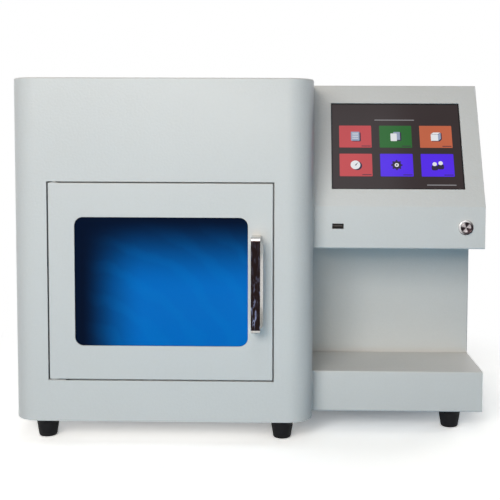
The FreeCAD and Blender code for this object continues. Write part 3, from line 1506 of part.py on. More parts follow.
keep(pipe("coil_spring", "button_x", "wing_front + spring_front", "button_z", "Y",
          "spring_radius", "spring_bore", "button_floor - spring_front - seat_gap"),
     "button_spring")
lock_nuts.append(lock_nut("button_nut", "button_x", "wing_front + sheet", "button_z", "Y",
                          "button_nut_radius", "button_barrel_radius + hole_play", "button_nut"))
group("lock_nuts", lock_nuts)

# ---------------------------------------------------------------------------------------------
# Work everything out, refuse a broken piece, and write one file for each sub-part.
doc.recompute()
for item in doc.Objects:
    if "Invalid" in item.State or "Error" in item.State:
        raise RuntimeError(f"{item.Label} could not be worked out: {item.State}")
for piece in pieces:
    if piece.Shape.isNull() or not piece.Shape.isValid():
        raise RuntimeError(f"{piece.Label} has no valid shape")
os.makedirs("parts", exist_ok=True)
for piece in pieces:
    piece.Shape.exportStep(f"parts/{piece.Label}.step")
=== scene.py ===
import json
import math

import bmesh
import bpy
from mathutils import Matrix, Vector


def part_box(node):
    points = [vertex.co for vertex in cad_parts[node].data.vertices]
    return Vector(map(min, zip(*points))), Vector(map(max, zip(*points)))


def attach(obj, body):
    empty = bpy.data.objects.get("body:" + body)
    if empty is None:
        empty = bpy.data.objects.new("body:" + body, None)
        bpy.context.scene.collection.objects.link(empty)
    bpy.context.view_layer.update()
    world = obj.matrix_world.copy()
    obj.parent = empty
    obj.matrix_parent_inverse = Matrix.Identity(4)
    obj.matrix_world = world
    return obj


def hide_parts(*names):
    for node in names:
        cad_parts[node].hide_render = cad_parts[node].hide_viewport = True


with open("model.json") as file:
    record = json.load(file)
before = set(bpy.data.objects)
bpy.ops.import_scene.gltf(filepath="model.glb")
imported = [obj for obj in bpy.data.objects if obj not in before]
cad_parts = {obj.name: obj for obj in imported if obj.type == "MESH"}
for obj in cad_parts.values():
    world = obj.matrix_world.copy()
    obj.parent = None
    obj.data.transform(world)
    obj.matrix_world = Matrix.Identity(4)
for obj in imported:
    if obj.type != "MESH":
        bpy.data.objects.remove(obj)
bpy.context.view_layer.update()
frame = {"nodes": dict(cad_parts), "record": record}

# ------------------------------
# Camera: it stands in front of the instrument, at the height of the door's middle, and looks a
# little down. The lens is shifted, because the instrument stands low and left in the frame.
STAND = (0.0564, -1.2483, 0.3458)
YAW = -0.017
PITCH = -0.063
ROLL = 0.004
camera = bpy.data.objects.new("camera", bpy.data.cameras.new("camera"))
camera.data.lens = 65.99
camera.data.shift_x = -0.0681
camera.data.shift_y = -0.0899
camera.matrix_world = (
    Matrix.Translation(STAND)
    @ Matrix.Rotation(-YAW, 4, "Z")
    @ Matrix.Rotation(math.pi / 2 + PITCH, 4, "X")
    @ Matrix.Rotation(ROLL, 4, "Z")
)
bpy.context.collection.objects.link(camera)
bpy.context.scene.camera = camera
bpy.context.scene.view_settings.view_transform = "Standard"


# ------------------------------
# Studio: a white tent of light, warm above and cool below, with large soft lamps, and a pale
# floor that keeps the instrument's shadow and runs out to plain white.
def add(tree, kind, settings=None, *first, **inputs):
    """Add a node. Values and outputs go to its first inputs, or to named ones, where _ is a
    space. A shader node's kind is given without its prefix."""
    node = tree.nodes.new(kind if "Node" in kind else "ShaderNode" + kind)
    for key, setting in (settings or {}).items():
        setattr(node, key, setting)
    for key, given in (*enumerate(first), *inputs.items()):
        socket = node.inputs[key.replace("_", " ") if isinstance(key, str) else key]
        if isinstance(given, bpy.types.NodeSocket):
            tree.links.new(given, socket)
        else:
            socket.default_value = given
    return node


def maths(tree, operation, *values):
    """The result of one operation on values or outputs."""
    return add(tree, "Math", {"operation": operation}, *values).outputs[0]


def ramp(tree, value, start, end, low=0.0, high=1.0):
    """A number that goes softly from low to high as the value goes from start to end."""
    return add(tree, "MapRange", {"interpolation_type": "SMOOTHSTEP"}, Value=value,
               From_Min=start, From_Max=end, To_Min=low, To_Max=high).outputs[0]


def blend_colours(tree, mask, low, high):
    """A colour that runs from low to high with a mask."""
    mix = add(tree, "Mix", {"data_type": "RGBA"}, Factor=mask)
    for socket, colour in ((mix.inputs[6], low), (mix.inputs[7], high)):
        if isinstance(colour, bpy.types.NodeSocket):
            tree.links.new(colour, socket)
        else:
            socket.default_value = (*colour, 1)
    return mix.outputs[2]


def seen_directly(tree):
    """One for rays that show the background: from the camera, off a gloss or through glass."""
    path = add(tree, "LightPath").outputs
    shown = maths(tree, "MAXIMUM", path["Is Camera Ray"], path["Is Glossy Ray"])
    return maths(tree, "MAXIMUM", shown, path["Is Transmission Ray"])


def own_place(tree):
    """Where a point lies on its own piece."""
    return add(tree, "TexCoord").outputs["Object"]


WHITE = (1, 1, 1, 1)
TENT_ABOVE = (1.0, 0.975, 0.93)
TENT_BELOW = (0.82, 0.92, 1.0)
TENT_FRONT = 0.03
TENT_BACK = 1.0
TENT_TURN = (0.25, 0.9)
world = bpy.data.worlds.new("studio")
world.use_nodes = True
tent = world.node_tree
tent.nodes.clear()
way = add(tent, "SeparateXYZ", Vector=add(tent, "TexCoord").outputs["Generated"]).outputs
height = add(tent, "MapRange", Value=way["Z"], From_Min=-1.0, From_Max=1.0).outputs[0]
glow = add(tent, "Background", Color=blend_colours(tent, height, TENT_BELOW, TENT_ABOVE),
           Strength=ramp(tent, way["Y"], *TENT_TURN, TENT_FRONT, TENT_BACK))
plain = add(tent, "Background", Color=WHITE, Strength=1.0)
shown = add(tent, "MixShader", None, seen_directly(tent), glow.outputs[0], plain.outputs[0])
add(tent, "OutputWorld", Surface=shown.outputs[0])
bpy.context.scene.world = world

# Each lamp: where it stands, its width and height, its power and its colour.
LAMPS = {
    "main_lamp": ((-0.60, -2.1, 1.05), (0.9, 0.9), 22.5, (1.0, 0.962, 0.90)),
    "left_lamp": ((-1.5, -1.5, 0.9), (1.0, 1.0), 2.5, (1.0, 0.98, 0.93)),
    "fill_lamp": ((0.25, -2.2, 0.85), (0.8, 0.8), 3.4, (1.0, 0.97, 0.93)),
    "low_lamp": ((0.0, -0.9, 0.04), (0.6, 0.06), 0.85, (0.42, 0.80, 1.0)),
    "high_lamp": ((0.0, -1.4, 1.9), (0.8, 0.8), 4.6, (0.92, 0.96, 1.0)),
    "near_lamp": ((-0.06, -1.75, 0.56), (0.22, 0.22), 2.4, (1.0, 0.85, 0.70)),
    "right_side_lamp": ((1.8, 1.2, 0.8), (1.0, 1.0), 13.0, (1.0, 0.99, 0.97)),
    "left_side_lamp": ((-1.8, 1.2, 0.8), (1.0, 1.0), 8.0, (1.0, 0.99, 0.97)),
}
UNMIRRORED = ("low_lamp", "right_side_lamp", "left_side_lamp")
LIT_POINT = Vector((0, 0, 0.2))
for name, (spot, size, power, colour) in LAMPS.items():
    lamp = bpy.data.objects.new(name, bpy.data.lights.new(name, "AREA"))
    lamp.data.shape = "RECTANGLE"
    lamp.data.size, lamp.data.size_y = size
    lamp.data.energy = power
    lamp.data.color = colour
    lamp.visible_glossy = name not in UNMIRRORED
    lamp.location = spot
    lamp.rotation_euler = (LIT_POINT - Vector(spot)).to_track_quat("-Z", "Y").to_euler()
    bpy.context.collection.objects.link(lamp)

FLOOR_REACH = 15
FLOOR_SHADE = (1.6, 1.6, 1.6)
FLOOR_BOUNCE = (0.25, 0.42, 0.60)
FLOOR_LIFT = 0.14
SHADOW_REACH = 0.34
SHADOW_END = 0.62
floor_mesh = bpy.data.meshes.new("floor")
floor_mesh.from_pydata([(x * FLOOR_REACH, y * FLOOR_REACH, 0)
                        for x, y in ((-1, -1), (1, -1), (1, 1), (-1, 1))], [], [(0, 1, 2, 3)])
floor = bpy.data.objects.new("floor", floor_mesh)
bpy.context.collection.objects.link(floor)
floor_finish = bpy.data.materials.new("floor")
floor_finish.use_nodes = True
tree = floor_finish.node_tree
tree.nodes.clear()
direct = seen_directly(tree)
matt = add(tree, "BsdfDiffuse", Color=blend_colours(tree, direct, FLOOR_BOUNCE, FLOOR_SHADE))
lift = add(tree, "MapRange", Value=direct, To_Max=FLOOR_LIFT)
lifted = add(tree, "Emission", Color=WHITE, Strength=lift.outputs[0])
lit_floor = add(tree, "AddShader", None, matt.outputs[0], lifted.outputs[0])
white = add(tree, "Emission", Color=WHITE, Strength=1.0)
away = add(tree, "VectorMath", {"operation": "LENGTH"}, Vector=own_place(tree)).outputs["Value"]
clear = maths(tree, "MULTIPLY", ramp(tree, away, SHADOW_REACH, SHADOW_END), direct)
shown = add(tree, "MixShader", None, clear, lit_floor.outputs[0], white.outputs[0])
add(tree, "OutputMaterial", Surface=shown.outputs[0])
floor_mesh.materials.append(floor_finish)


# ------------------------------
# Cabinet shell: 1.5 mm steel sheet, folded and welded into one wrapper with rounded upright
# corners, then powder coated in a light warm grey with a fine orange-peel skin.
def noise(tree, place, scale, **settings):
    """A cloudy pattern."""
    return add(tree, "TexNoise", Vector=place, Scale=scale, **settings).outputs["Fac"]


def skin_group(name, own_input, distance, pattern):
    """A shader group for a skin. Its pattern gives the skin's height and its shade."""
    group = bpy.data.node_groups.new(name, "ShaderNodeTree")
    for label, kind, start in (own_input, ("Depth", "Float", 0.1)):
        group.interface.new_socket(
            label, in_out="INPUT", socket_type="NodeSocket" + kind).default_value = start
    for label, kind in (("Shade", "Float"), ("Normal", "Vector")):
        group.interface.new_socket(label, in_out="OUTPUT", socket_type="NodeSocket" + kind)
    given = add(group, "NodeGroupInput").outputs
    height, shade = pattern(group, given)
    bump = add(group, "Bump", Strength=given["Depth"], Distance=distance, Height=height)
    add(group, "NodeGroupOutput", Shade=shade, Normal=bump.outputs[0])
    return group


def peel_pattern(group, given):
    """Small round dimples over slow, soft waves, as sprayed and baked coats have them."""
    dimples = noise(group, own_place(group), given["Grain"], Detail=2.0, Roughness=0.45)
    waves = noise(group, own_place(group), 14.0, Detail=3.0)
    return dimples, maths(group, "MULTIPLY", dimples, waves)


FINISHES = {}


def new_finish(name, **plain):
    """A material with a Principled shader whose plain values are set."""
    made = FINISHES[name] = bpy.data.materials.new(name)
    made.use_nodes = True
    shader = made.node_tree.nodes["Principled BSDF"]
    for key, number in plain.items():
        shader.inputs[key.replace("_", " ")].default_value = number
    return made, made.node_tree, shader


def feed(tree, shader, **outputs):
    """Link outputs to the shader's inputs."""
    for key, output in outputs.items():
        tree.links.new(output, shader.inputs[key.replace("_", " ")])


def spread_value(tree, mask, low, high):
    """A number that runs from low to high as a mask runs from 0 to 1."""
    return add(tree, "MapRange", Value=mask, To_Min=low, To_Max=high).outputs[0]


def skinned_finish(name, group, settings, low, high, rough, **plain):
    """A finish whose colour, roughness and normal follow a skin."""
    made, tree, shader = new_finish(name, **plain)
    skin = add(tree, "Group", {"node_tree": group}, **settings).outputs
    feed(tree, shader, Base_Color=blend_colours(tree, skin["Shade"], low, high),
         Roughness=spread_value(tree, skin["Shade"], *rough), Normal=skin["Normal"])
    return made


orange_peel = skin_group("orange_peel", ("Grain", "Float", 900.0), 0.0002, peel_pattern)
COAT_LIGHT = (0.690, 0.683, 0.664)
COAT_DARK = (0.632, 0.627, 0.611)
skinned_finish("powder_coat", orange_peel, {"Grain": 360.0, "Depth": 1.0}, COAT_LIGHT, COAT_DARK,
               (0.30, 0.42), Specular_IOR_Level=0.26)

MERGE_DISTANCE = 2e-6
SMOOTH_ANGLE = math.radians(28)
FLAT_ANGLE = math.radians(0.3)
SLOTS = {entry["node"]: entry["material_slot"] for entry in frame["record"]["subparts"]}


def joined_copy(node):
    """A bmesh of a CAD node with its corners joined."""
    bm = bmesh.new()
    bm.from_mesh(frame["nodes"][node].data)
    bmesh.ops.remove_doubles(bm, verts=bm.verts, dist=MERGE_DISTANCE)
    return bm


def cad_copy(node):
    """A joined copy whose flat faces are made whole."""
    bm = joined_copy(node)
    bmesh.ops.dissolve_limit(bm, angle_limit=FLAT_ANGLE, verts=bm.verts, edges=bm.edges)
    return bm


def place_piece(name, mesh, body, node=None, soft=0.0):
    """An object that rides on its body, stands for a CAD node, and has its edges softened."""
    piece = bpy.data.objects.new(name, mesh)
    bpy.context.collection.objects.link(piece)
    if soft:
        bevel = piece.modifiers.new("soft_edges", "BEVEL")
        bevel.width = soft
        bevel.segments = 2
        bevel.limit_method = "ANGLE"
        bevel.angle_limit = SMOOTH_ANGLE
        bevel.harden_normals = True
    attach(piece, body)
    if node:
        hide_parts(node)


def smooth_mesh(name, bm, *finishes):
    """A bmesh turned into a mesh that is smooth over its shallow edges."""
    for face in bm.faces:
        face.smooth = True
    for edge in bm.edges:
        edge.smooth = len(edge.link_faces) == 2 and edge.calc_face_angle(0) < SMOOTH_ANGLE
    mesh = bpy.data.meshes.new(name)
    bm.to_mesh(mesh)
    bm.free()
    for finish in finishes:
        mesh.materials.append(finish)
    return mesh


def finish_piece(name, bm, finishes, body, node=None, soft=0.0):
    """Turn a bmesh into a piece."""
    bm.normal_update()
    place_piece(name, smooth_mesh(name, bm, *finishes), body, node, soft)


FINE_EDGE = 0.0003
SHEET_EDGE = 0.00035


def edged_copy(name, node, soft=FINE_EDGE, body="cabinet", finish=None):
    """A part in its CAD shape with softened edges, as deburred and moulded parts have them. Its
    finish is that of its slot, where no other is given."""
    finish_piece(name, cad_copy(node), [finish or FINISHES[SLOTS[node]]], body, node, soft=soft)


edged_copy("cabinet_wrapper", "cabinet_shell", SHEET_EDGE)

# ------------------------------
# Door panel: a folded steel pan with a cut-out for the window, coated like the cabinet, that
# swings on two pivots hidden behind its left edge.
edged_copy("door_pan", "door_panel", SHEET_EDGE, "door")

# ------------------------------
# Wing shells: three folded boxes beside the cabinet, for the console, the niche and the shelf.
# They are coated in the same batch as the cabinet and bolted to its side.
edged_copy("console_cover", "console_shell", SHEET_EDGE)
edged_copy("niche_cover", "niche_panel", SHEET_EDGE)
edged_copy("shelf_cover", "shelf_box", SHEET_EDGE)
edged_copy("wing_side_sheet", "wing_side_plate", SHEET_EDGE)

# ------------------------------
# Rear covers: two plain steel sheets, one for the cabinet and one for the wing, coated like the
# rest and screwed on from behind.
edged_copy("cabinet_rear_cover", "rear_panel", SHEET_EDGE)
edged_copy("wing_rear_cover", "wing_rear_panel", SHEET_EDGE)


# ------------------------------
# Window pane: a 4 mm sheet of deep blue acrylic, seen through the door's cut-out. Its colour is
# painted dark towards its left edge and its top: painted shade, for the shadow that the door's
# frame casts into the chamber behind it. Very faint curved streaks run through it.
def moved(tree, vector, **how):
    """A place that is shifted or stretched."""
    return add(tree, "Mapping", Vector=vector, **how).outputs[0]


def box_middle(node):
    """The middle of a CAD node's box."""
    low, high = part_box(node)
    return (low + high) / 2


PANE_BRIGHT = (0.0, 0.155, 0.55)
PANE_PAINTED_SHADE = (0.0, 0.005, 0.022)
PANE_STREAK = (0.0, 0.20, 0.60)
LEFT_SHADE_FADE = (-0.094, -0.018)
TOP_SHADE_FADE = (0.076, -0.012)
STREAK_CENTRE = (0.14, 0, 0.20)
STREAK_STRENGTH = 0.20
_, tree, shader = new_finish("window_blue", Roughness=0.10, Specular_IOR_Level=0.04)
on_pane = moved(tree, own_place(tree), Location=-box_middle("window_pane"))
spot = add(tree, "SeparateXYZ", Vector=on_pane).outputs
# Painted shade: the blue darkens towards the pane's left edge and top, where the frame shades the
# chamber.
unshaded_share = maths(tree, "MULTIPLY", ramp(tree, spot["X"], *LEFT_SHADE_FADE), ramp(tree, spot["Z"], *TOP_SHADE_FADE))
curves = add(tree, "TexWave",
             {"wave_type": "RINGS", "rings_direction": "SPHERICAL", "wave_profile": "SIN"},
             Vector=moved(tree, on_pane, Location=STREAK_CENTRE),
             Scale=9.0, Distortion=3.6, Detail=4.0, Detail_Scale=2.4).outputs["Fac"]
faint = maths(tree, "MULTIPLY", ramp(tree, curves, 0.45, 1.0, 0.0, STREAK_STRENGTH), unshaded_share)
tinted = blend_colours(tree, unshaded_share, PANE_PAINTED_SHADE, PANE_BRIGHT)
feed(tree, shader, Base_Color=blend_colours(tree, faint, tinted, PANE_STREAK))
ROUND_EDGE = 0.0004
edged_copy("window_sheet", "window_pane", ROUND_EDGE, "door")

# ------------------------------
# Window gasket: an extruded black rubber frame, pushed in between the door's sheet and the
# pane to hold it.
RUBBER_LIGHT = (0.010, 0.010, 0.012)
RUBBER_DARK = (0.004, 0.004, 0.005)
black_rubber = skinned_finish("black_rubber", orange_peel, {"Grain": 1500.0, "Depth": 0.3},
                              RUBBER_DARK, RUBBER_LIGHT, (0.55, 0.8), Specular_IOR_Level=0.18)
edged_copy("window_rubber", "window_gasket", 0.0, "door")

# ------------------------------
# Bow handle: one bent flat bar, polished and plated, with a bevelled strip along its right side.
# Its front is smooth, and its colour is painted nearly black with a few pale bluish streaks, more
# of
# them lower down: a painted reflection of the room. The rest is bright.
HANDLE_DARK_REFLECTION = (0.020, 0.012, 0.012)
HANDLE_STREAK_REFLECTION = (0.24, 0.27, 0.42)
HANDLE_BRIGHT = (0.74, 0.72, 0.69)
HANDLE_SIDE = (0.46, 0.45, 0.44)
REFLECTION_STRETCH = (430, 430, 62)
REFLECTION_SHARPNESS = (0.52, 0.66)
REFLECTION_FADE = (0.008, -0.018)
UPPER_REFLECTION_SHARE = 0.16
# Painted reflection: the flat front's colour is a dark mirror image with pale bluish streaks,
# stronger lower down.
painted_reflection_chrome, tree, shader = new_finish("handle_front", Metallic=1.0)
on_bar = moved(tree, own_place(tree), Location=-box_middle("door_handle"))
reflection_streaks = noise(tree, moved(tree, on_bar, Scale=REFLECTION_STRETCH), 1.0, Detail=4.0, Distortion=1.6)
level = add(tree, "SeparateXYZ", Vector=on_bar).outputs["Z"]
shown = maths(tree, "MULTIPLY", ramp(tree, reflection_streaks, *REFLECTION_SHARPNESS),
              ramp(tree, level, *REFLECTION_FADE, UPPER_REFLECTION_SHARE))
feed(tree, shader, Base_Color=blend_colours(tree, shown, HANDLE_DARK_REFLECTION, HANDLE_STREAK_REFLECTION),
     Roughness=spread_value(tree, reflection_streaks, 0.08, 0.16))


def brushed_pattern(group, given):
    """Fine scratches: the stretch is long across them and short along them."""
    drawn = moved(group, own_place(group), Scale=given["Stretch"])
    lines = noise(group, drawn, 1.0, Detail=3.0, Roughness=0.6)
    return lines, lines


brushed_metal = skin_group("brushed_metal", ("Stretch", "Vector", (900.0, 900.0, 20.0)), 0.0001,
                           brushed_pattern)


def metal_finish(name, dark, light, rough, stretch, depth=0.1):
    """A brushed or machined metal with its own colours and direction of grain."""
    return skinned_finish(name, brushed_metal, {"Stretch": stretch, "Depth": depth}, dark, light,
                          rough, Metallic=1.0)


def bridge(bm, *rings):
    """Faces between neighbouring rings of corners."""
    return [bm.faces.new((first[step - 1], first[step], second[step], second[step - 1]))
            for first, second in zip(rings, rings[1:]) for step in range(len(first))]


def close_ends(bm, rings):
    """A face on the first ring and one on the last."""
    return [bm.faces.new(list(reversed(rings[0]))), bm.faces.new(rings[-1])]


handle_chrome = metal_finish("handle_chrome", HANDLE_SIDE, HANDLE_BRIGHT, rough=(0.12, 0.24),
                             stretch=(500, 500, 500), depth=0.03)
handle_low, handle_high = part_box("door_handle")
bow = cad_copy("door_handle")
for face in bow.faces:
    flat_front = face.normal.y < -0.98 and face.calc_center_median().y < handle_low.y + 0.001
    face.material_index = int(flat_front)
STRIP_WIDTH = 0.0031
STRIP_END = 0.0055
STRIP_SLOPE = 0.0030
END_TAPER = 0.8
strip_right = handle_high.x + STRIP_WIDTH
strip_back = handle_low.y + 0.009
strip_section = ((handle_high.x, handle_low.y + 0.0010), (strip_right, handle_low.y + 0.0050),
                 (strip_right, strip_back - 0.0008), (handle_high.x, strip_back))
strip_low = handle_low.z + STRIP_END
strip_high = handle_high.z - STRIP_END
strip_rings = [[bow.verts.new((x - taper * (x - handle_high.x), y, rise))
                for x, y in strip_section]
               for rise, taper in ((strip_low, END_TAPER), (strip_low + STRIP_SLOPE, 0.0),
                                   (strip_high - STRIP_SLOPE, 0.0), (strip_high, END_TAPER))]
close_ends(bow, strip_rings)
bridge(bow, *strip_rings)
BLOCK_EDGE = 0.0005
finish_piece("bow_handle", bow, [handle_chrome, painted_reflection_chrome], "door", "door_handle",
             soft=BLOCK_EDGE)

# ------------------------------
# Touch display: a black-edged glass behind the slope's cut-out. The lit picture has six tiles
# with plain signs and thin bars, and lies on the glass as thin printed plates.
SLOPE = math.radians(28.5)
GLASS_THICKNESS = 0.0018
SCREEN_MARGIN = 0.006
SCREEN_WIDTH = 0.162
SCREEN_HEIGHT = 0.1215
glass_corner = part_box("touch_glass")[0] + Vector((0, 0, GLASS_THICKNESS * math.sin(SLOPE)))
screen = (Matrix.Translation(glass_corner) @ Matrix.Rotation(math.pi / 2 - SLOPE, 4, "X")
          @ Matrix.Translation((SCREEN_MARGIN, SCREEN_MARGIN, 0)))


def rounded_outline(left, bottom, width, height, radius, steps=6):
    """Corner points of a rounded rectangle, anticlockwise."""
    right, top = left + width - radius, bottom + height - radius
    points = []
    for x, y, start in ((right, bottom + radius, 270), (right, top, 0),
                        (left + radius, top, 90), (left + radius, bottom + radius, 180)):
        for step in range(steps + 1):
            angle = math.radians(start + 90 * step / steps)
            points.append((x + radius * math.cos(angle), y + radius * math.sin(angle)))
    return points


def ring_outline(x, y, radius, steps=28):
    """Points of a circle, anticlockwise."""
    turns = [math.tau * step / steps for step in range(steps)]
    return [(x + radius * math.cos(turn), y + radius * math.sin(turn)) for turn in turns]


def add_slab(bm, outline, low, high, place=Matrix(), index=0):
    """A closed slab with this outline, between two levels along its own Z."""
    rings = [[bm.verts.new(place @ Vector((x, y, level))) for x, y in outline]
             for level in (low, high)]
    for face in close_ends(bm, rings) + bridge(bm, *rings):
        face.material_index = index


def glowing(name, colour, light=0.9):
    """A lit plate of the picture: a little uneven, as a backlit panel is."""
    made, tree, shader = new_finish(name, Roughness=0.12, Specular_IOR_Level=0.12,
                                    Emission_Strength=light, Base_Color=(0.004, 0.004, 0.005, 1))
    uneven = noise(tree, own_place(tree), 25.0, Detail=1.0)
    darker = [0.82 * part for part in colour]
    feed(tree, shader, Emission_Color=blend_colours(tree, uneven, darker, colour))
    return made


GLASS_DARK = (0.010, 0.008, 0.009)
GLASS_LIGHT = (0.020, 0.017, 0.018)
_, tree, shader = new_finish("display_glass", Specular_IOR_Level=0.12)
smudges = noise(tree, own_place(tree), 40.0, Detail=4.0)
feed(tree, shader, Base_Color=blend_colours(tree, smudges, GLASS_DARK, GLASS_LIGHT),
     Roughness=spread_value(tree, smudges, 0.08, 0.2))
TILE_COLOURS = {
    "red": (0.62, 0.075, 0.085),
    "green": (0.022, 0.16, 0.028),
    "orange": (0.62, 0.145, 0.065),
    "violet": (0.10, 0.022, 0.95),
}
tile_finishes = {name: glowing("tile_" + name, colour) for name, colour in TILE_COLOURS.items()}
backdrop_finish = glowing("screen_backdrop", (0.040, 0.027, 0.027))
bar_finish = glowing("screen_bar", (0.30, 0.29, 0.30))
label_finish = glowing("screen_label", (0.045, 0.022, 0.05))
edged_copy("touch_plate", "touch_glass")

LAYER = 0.00012
BORDER = 0.0016
BAR_HEIGHT = 0.0012
picture = bmesh.new()
add_slab(picture, rounded_outline(BORDER, BORDER, SCREEN_WIDTH - 2 * BORDER,
                                  SCREEN_HEIGHT - 2 * BORDER, 0.0005), 0, LAYER, screen)
for left, bottom, width in ((0.0545, 0.0968, 0.0500), (0.1160, 0.0058, 0.0360)):
    add_slab(picture, rounded_outline(left, bottom, width, BAR_HEIGHT, BAR_HEIGHT / 2, 2),
             LAYER, 2 * LAYER, screen, 1)
finish_piece("screen_picture", picture, [backdrop_finish, bar_finish], "cabinet")

TILE_WIDTH = 0.0402
TILE_HEIGHT = 0.0312
TILE_CORNER = 0.0009
TILE_PITCH = 0.0502
TILE_LEFT = 0.0100
TILE_FACE = 2.5 * LAYER
TILE_ROWS = {"upper": (0.0580, ("red", "green", "orange")),
             "lower": (0.0180, ("red", "violet", "violet"))}
LABEL = {"width": 0.0115, "height": 0.0010, "radius": 0.0004, "steps": 2}
LABEL_RIGHT = 0.0012
LABEL_BOTTOM = 0.0016
for row, (bottom, colours) in TILE_ROWS.items():
    for column, colour in enumerate(colours):
        left = TILE_LEFT + column * TILE_PITCH
        tile = bmesh.new()
        add_slab(tile, rounded_outline(left, bottom, TILE_WIDTH, TILE_HEIGHT, TILE_CORNER),
                 LAYER, TILE_FACE, screen)
        add_slab(tile, rounded_outline(left + TILE_WIDTH - LABEL["width"] - LABEL_RIGHT,
                                       bottom + LABEL_BOTTOM, **LABEL),
                 TILE_FACE, 3 * LAYER, screen, 1)
        finish_piece(f"tile_{row}_{column + 1}", tile, [tile_finishes[colour], label_finish],
                     "cabinet")

# ------------------------------
# Signs on the tiles: a page, two pages, a box, a dial, a toothed wheel and two discs. Each is
# made of thin pale and grey plates, with a dark one behind them as their shadow.
SIGN_LEVELS = {"shadow": (TILE_FACE, 3.0 * LAYER, 1), "grey": (3.0 * LAYER, 3.5 * LAYER, 2),
               "pale": (3.5 * LAYER, 4.0 * LAYER, 0), "line": (4.0 * LAYER, 4.4 * LAYER, 1)}
sign_finishes = [glowing("sign_pale", (0.86, 0.87, 0.90), 0.95),
                 glowing("sign_shadow", (0.030, 0.020, 0.055)),
                 glowing("sign_grey", (0.36, 0.42, 0.58))]
SIGNS = {
    "page": [
        ("shadow", rounded_outline(-0.0038, -0.0070, 0.0106, 0.0128, 0.0008, 3)),
        ("grey", rounded_outline(-0.0054, -0.0060, 0.0106, 0.0128, 0.0008, 3)),
        *(("pale", rounded_outline(-0.0038, rise, 0.0074, 0.0007, 0.0003, 2))
          for rise in (-0.0030, -0.0006, 0.0018, 0.0042))],
    "two pages": [
        ("shadow", rounded_outline(-0.0016, -0.0058, 0.0088, 0.0118, 0.0006, 3)),
        ("grey", rounded_outline(-0.0026, -0.0046, 0.0082, 0.0112, 0.0006, 3)),
        ("pale", rounded_outline(-0.0062, -0.0064, 0.0078, 0.0108, 0.0006, 3))],
    "box": [
        ("shadow", [(-0.0050, -0.0066), (0.0046, -0.0066), (0.0074, -0.0036),
                    (0.0074, 0.0052), (-0.0050, 0.0052)]),
        ("pale", [(-0.0062, -0.0058), (0.0028, -0.0058), (0.0028, 0.0030), (-0.0062, 0.0030)]),
        ("grey", [(0.0028, -0.0058), (0.0062, -0.0030), (0.0062, 0.0058), (0.0028, 0.0030)]),
        ("pale", [(-0.0062, 0.0034), (0.0026, 0.0034), (0.0058, 0.0060), (-0.0028, 0.0060)])],
    "dial": [
        ("shadow", ring_outline(0.0014, -0.0010, 0.0062)),
        ("pale", ring_outline(-0.0006, 0, 0.0060)),
        ("line", [(-0.0014, -0.0006), (0, -0.0010), (0.0030, 0.0040)])],
    "wheel": [
        ("shadow", ring_outline(0, 0, 0.0056)),
        *(("shadow", ring_outline(x, y, 0.0012, 8)) for x, y in ring_outline(0, 0, 0.0060, 8)),
        ("pale", ring_outline(0, 0, 0.0026)),
        ("line", ring_outline(0, 0, 0.0011, 16))],
    "two discs": [
        plate for side, rise in ((-0.0036, -0.0004), (0.0038, 0.0010)) for plate in (
            ("shadow", rounded_outline(side - 0.0040, rise - 0.0068, 0.0080, 0.0070, 0.0024, 4)),
            ("pale", ring_outline(side, rise + 0.0018, 0.0027)))],
}
signs = bmesh.new()
for number, plates in enumerate(SIGNS.values()):
    row, column = divmod(number, 3)
    middle = Matrix.Translation((TILE_LEFT + column * TILE_PITCH + TILE_WIDTH / 2,
                                 TILE_ROWS["lower" if row else "upper"][0] + TILE_HEIGHT / 2, 0))
    for kind, outline in plates:
        low, high, index = SIGN_LEVELS[kind]
        add_slab(signs, outline, low, high, screen @ middle, index)
finish_piece("tile_signs", signs, sign_finishes, "cabinet")


# ------------------------------
# Data port: a sleeve folded from thin steel, and inside it a moulded plastic tongue with four gilt
# contacts. The sleeve's steel is painted nearly black: painted shade for the port's dark inside.
def facing_front(x, y, z):
    """A place whose own Z points to the front."""
    return Matrix.Translation((x, y, z)) @ Matrix.Rotation(math.pi / 2, 4, "X")


def plastic_finish(name, dark, light, rough):
    """A moulded plastic with a fine spark-eroded skin."""
    return skinned_finish(name, orange_peel, {"Grain": 2200.0, "Depth": 0.12}, dark, light, rough)


PORT_WALL = 0.00035
PORT_CORNER = 0.0008
PORT_EDGE = 0.00008
metal_finish("port_steel", (0.40, 0.38, 0.36), (0.72, 0.70, 0.68), rough=(0.22, 0.38),
             stretch=(700, 60, 700), depth=0.05)
# Painted shade: the sleeve's steel is coloured nearly black, as the inside of the port looks in
# shadow.
port_painted_shade = metal_finish("port_painted_shade", (0.012, 0.008, 0.008), (0.06, 0.045, 0.045),
                         rough=(0.35, 0.5), stretch=(700, 60, 700), depth=0.05)
port_low, port_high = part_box("port_shell")
port_size = port_high - port_low
port_place = facing_front(*port_low)
mouth = rounded_outline(0, 0, port_size.x, port_size.z, PORT_CORNER)
bore = rounded_outline(PORT_WALL, PORT_WALL, port_size.x - 2 * PORT_WALL,
                       port_size.z - 2 * PORT_WALL, PORT_CORNER - PORT_WALL)
port = bmesh.new()
loops = [[port.verts.new(port_place @ Vector((x, y, level))) for x, y in outline]
         for outline, level in ((mouth, -port_size.y), (mouth, 0), (bore, 0), (bore, -port_size.y))]
bridge(port, *loops, loops[0])
bmesh.ops.recalc_face_normals(port, faces=port.faces)
finish_piece("port_sleeve", port, [port_painted_shade], "cabinet", "port_shell", soft=PORT_EDGE)

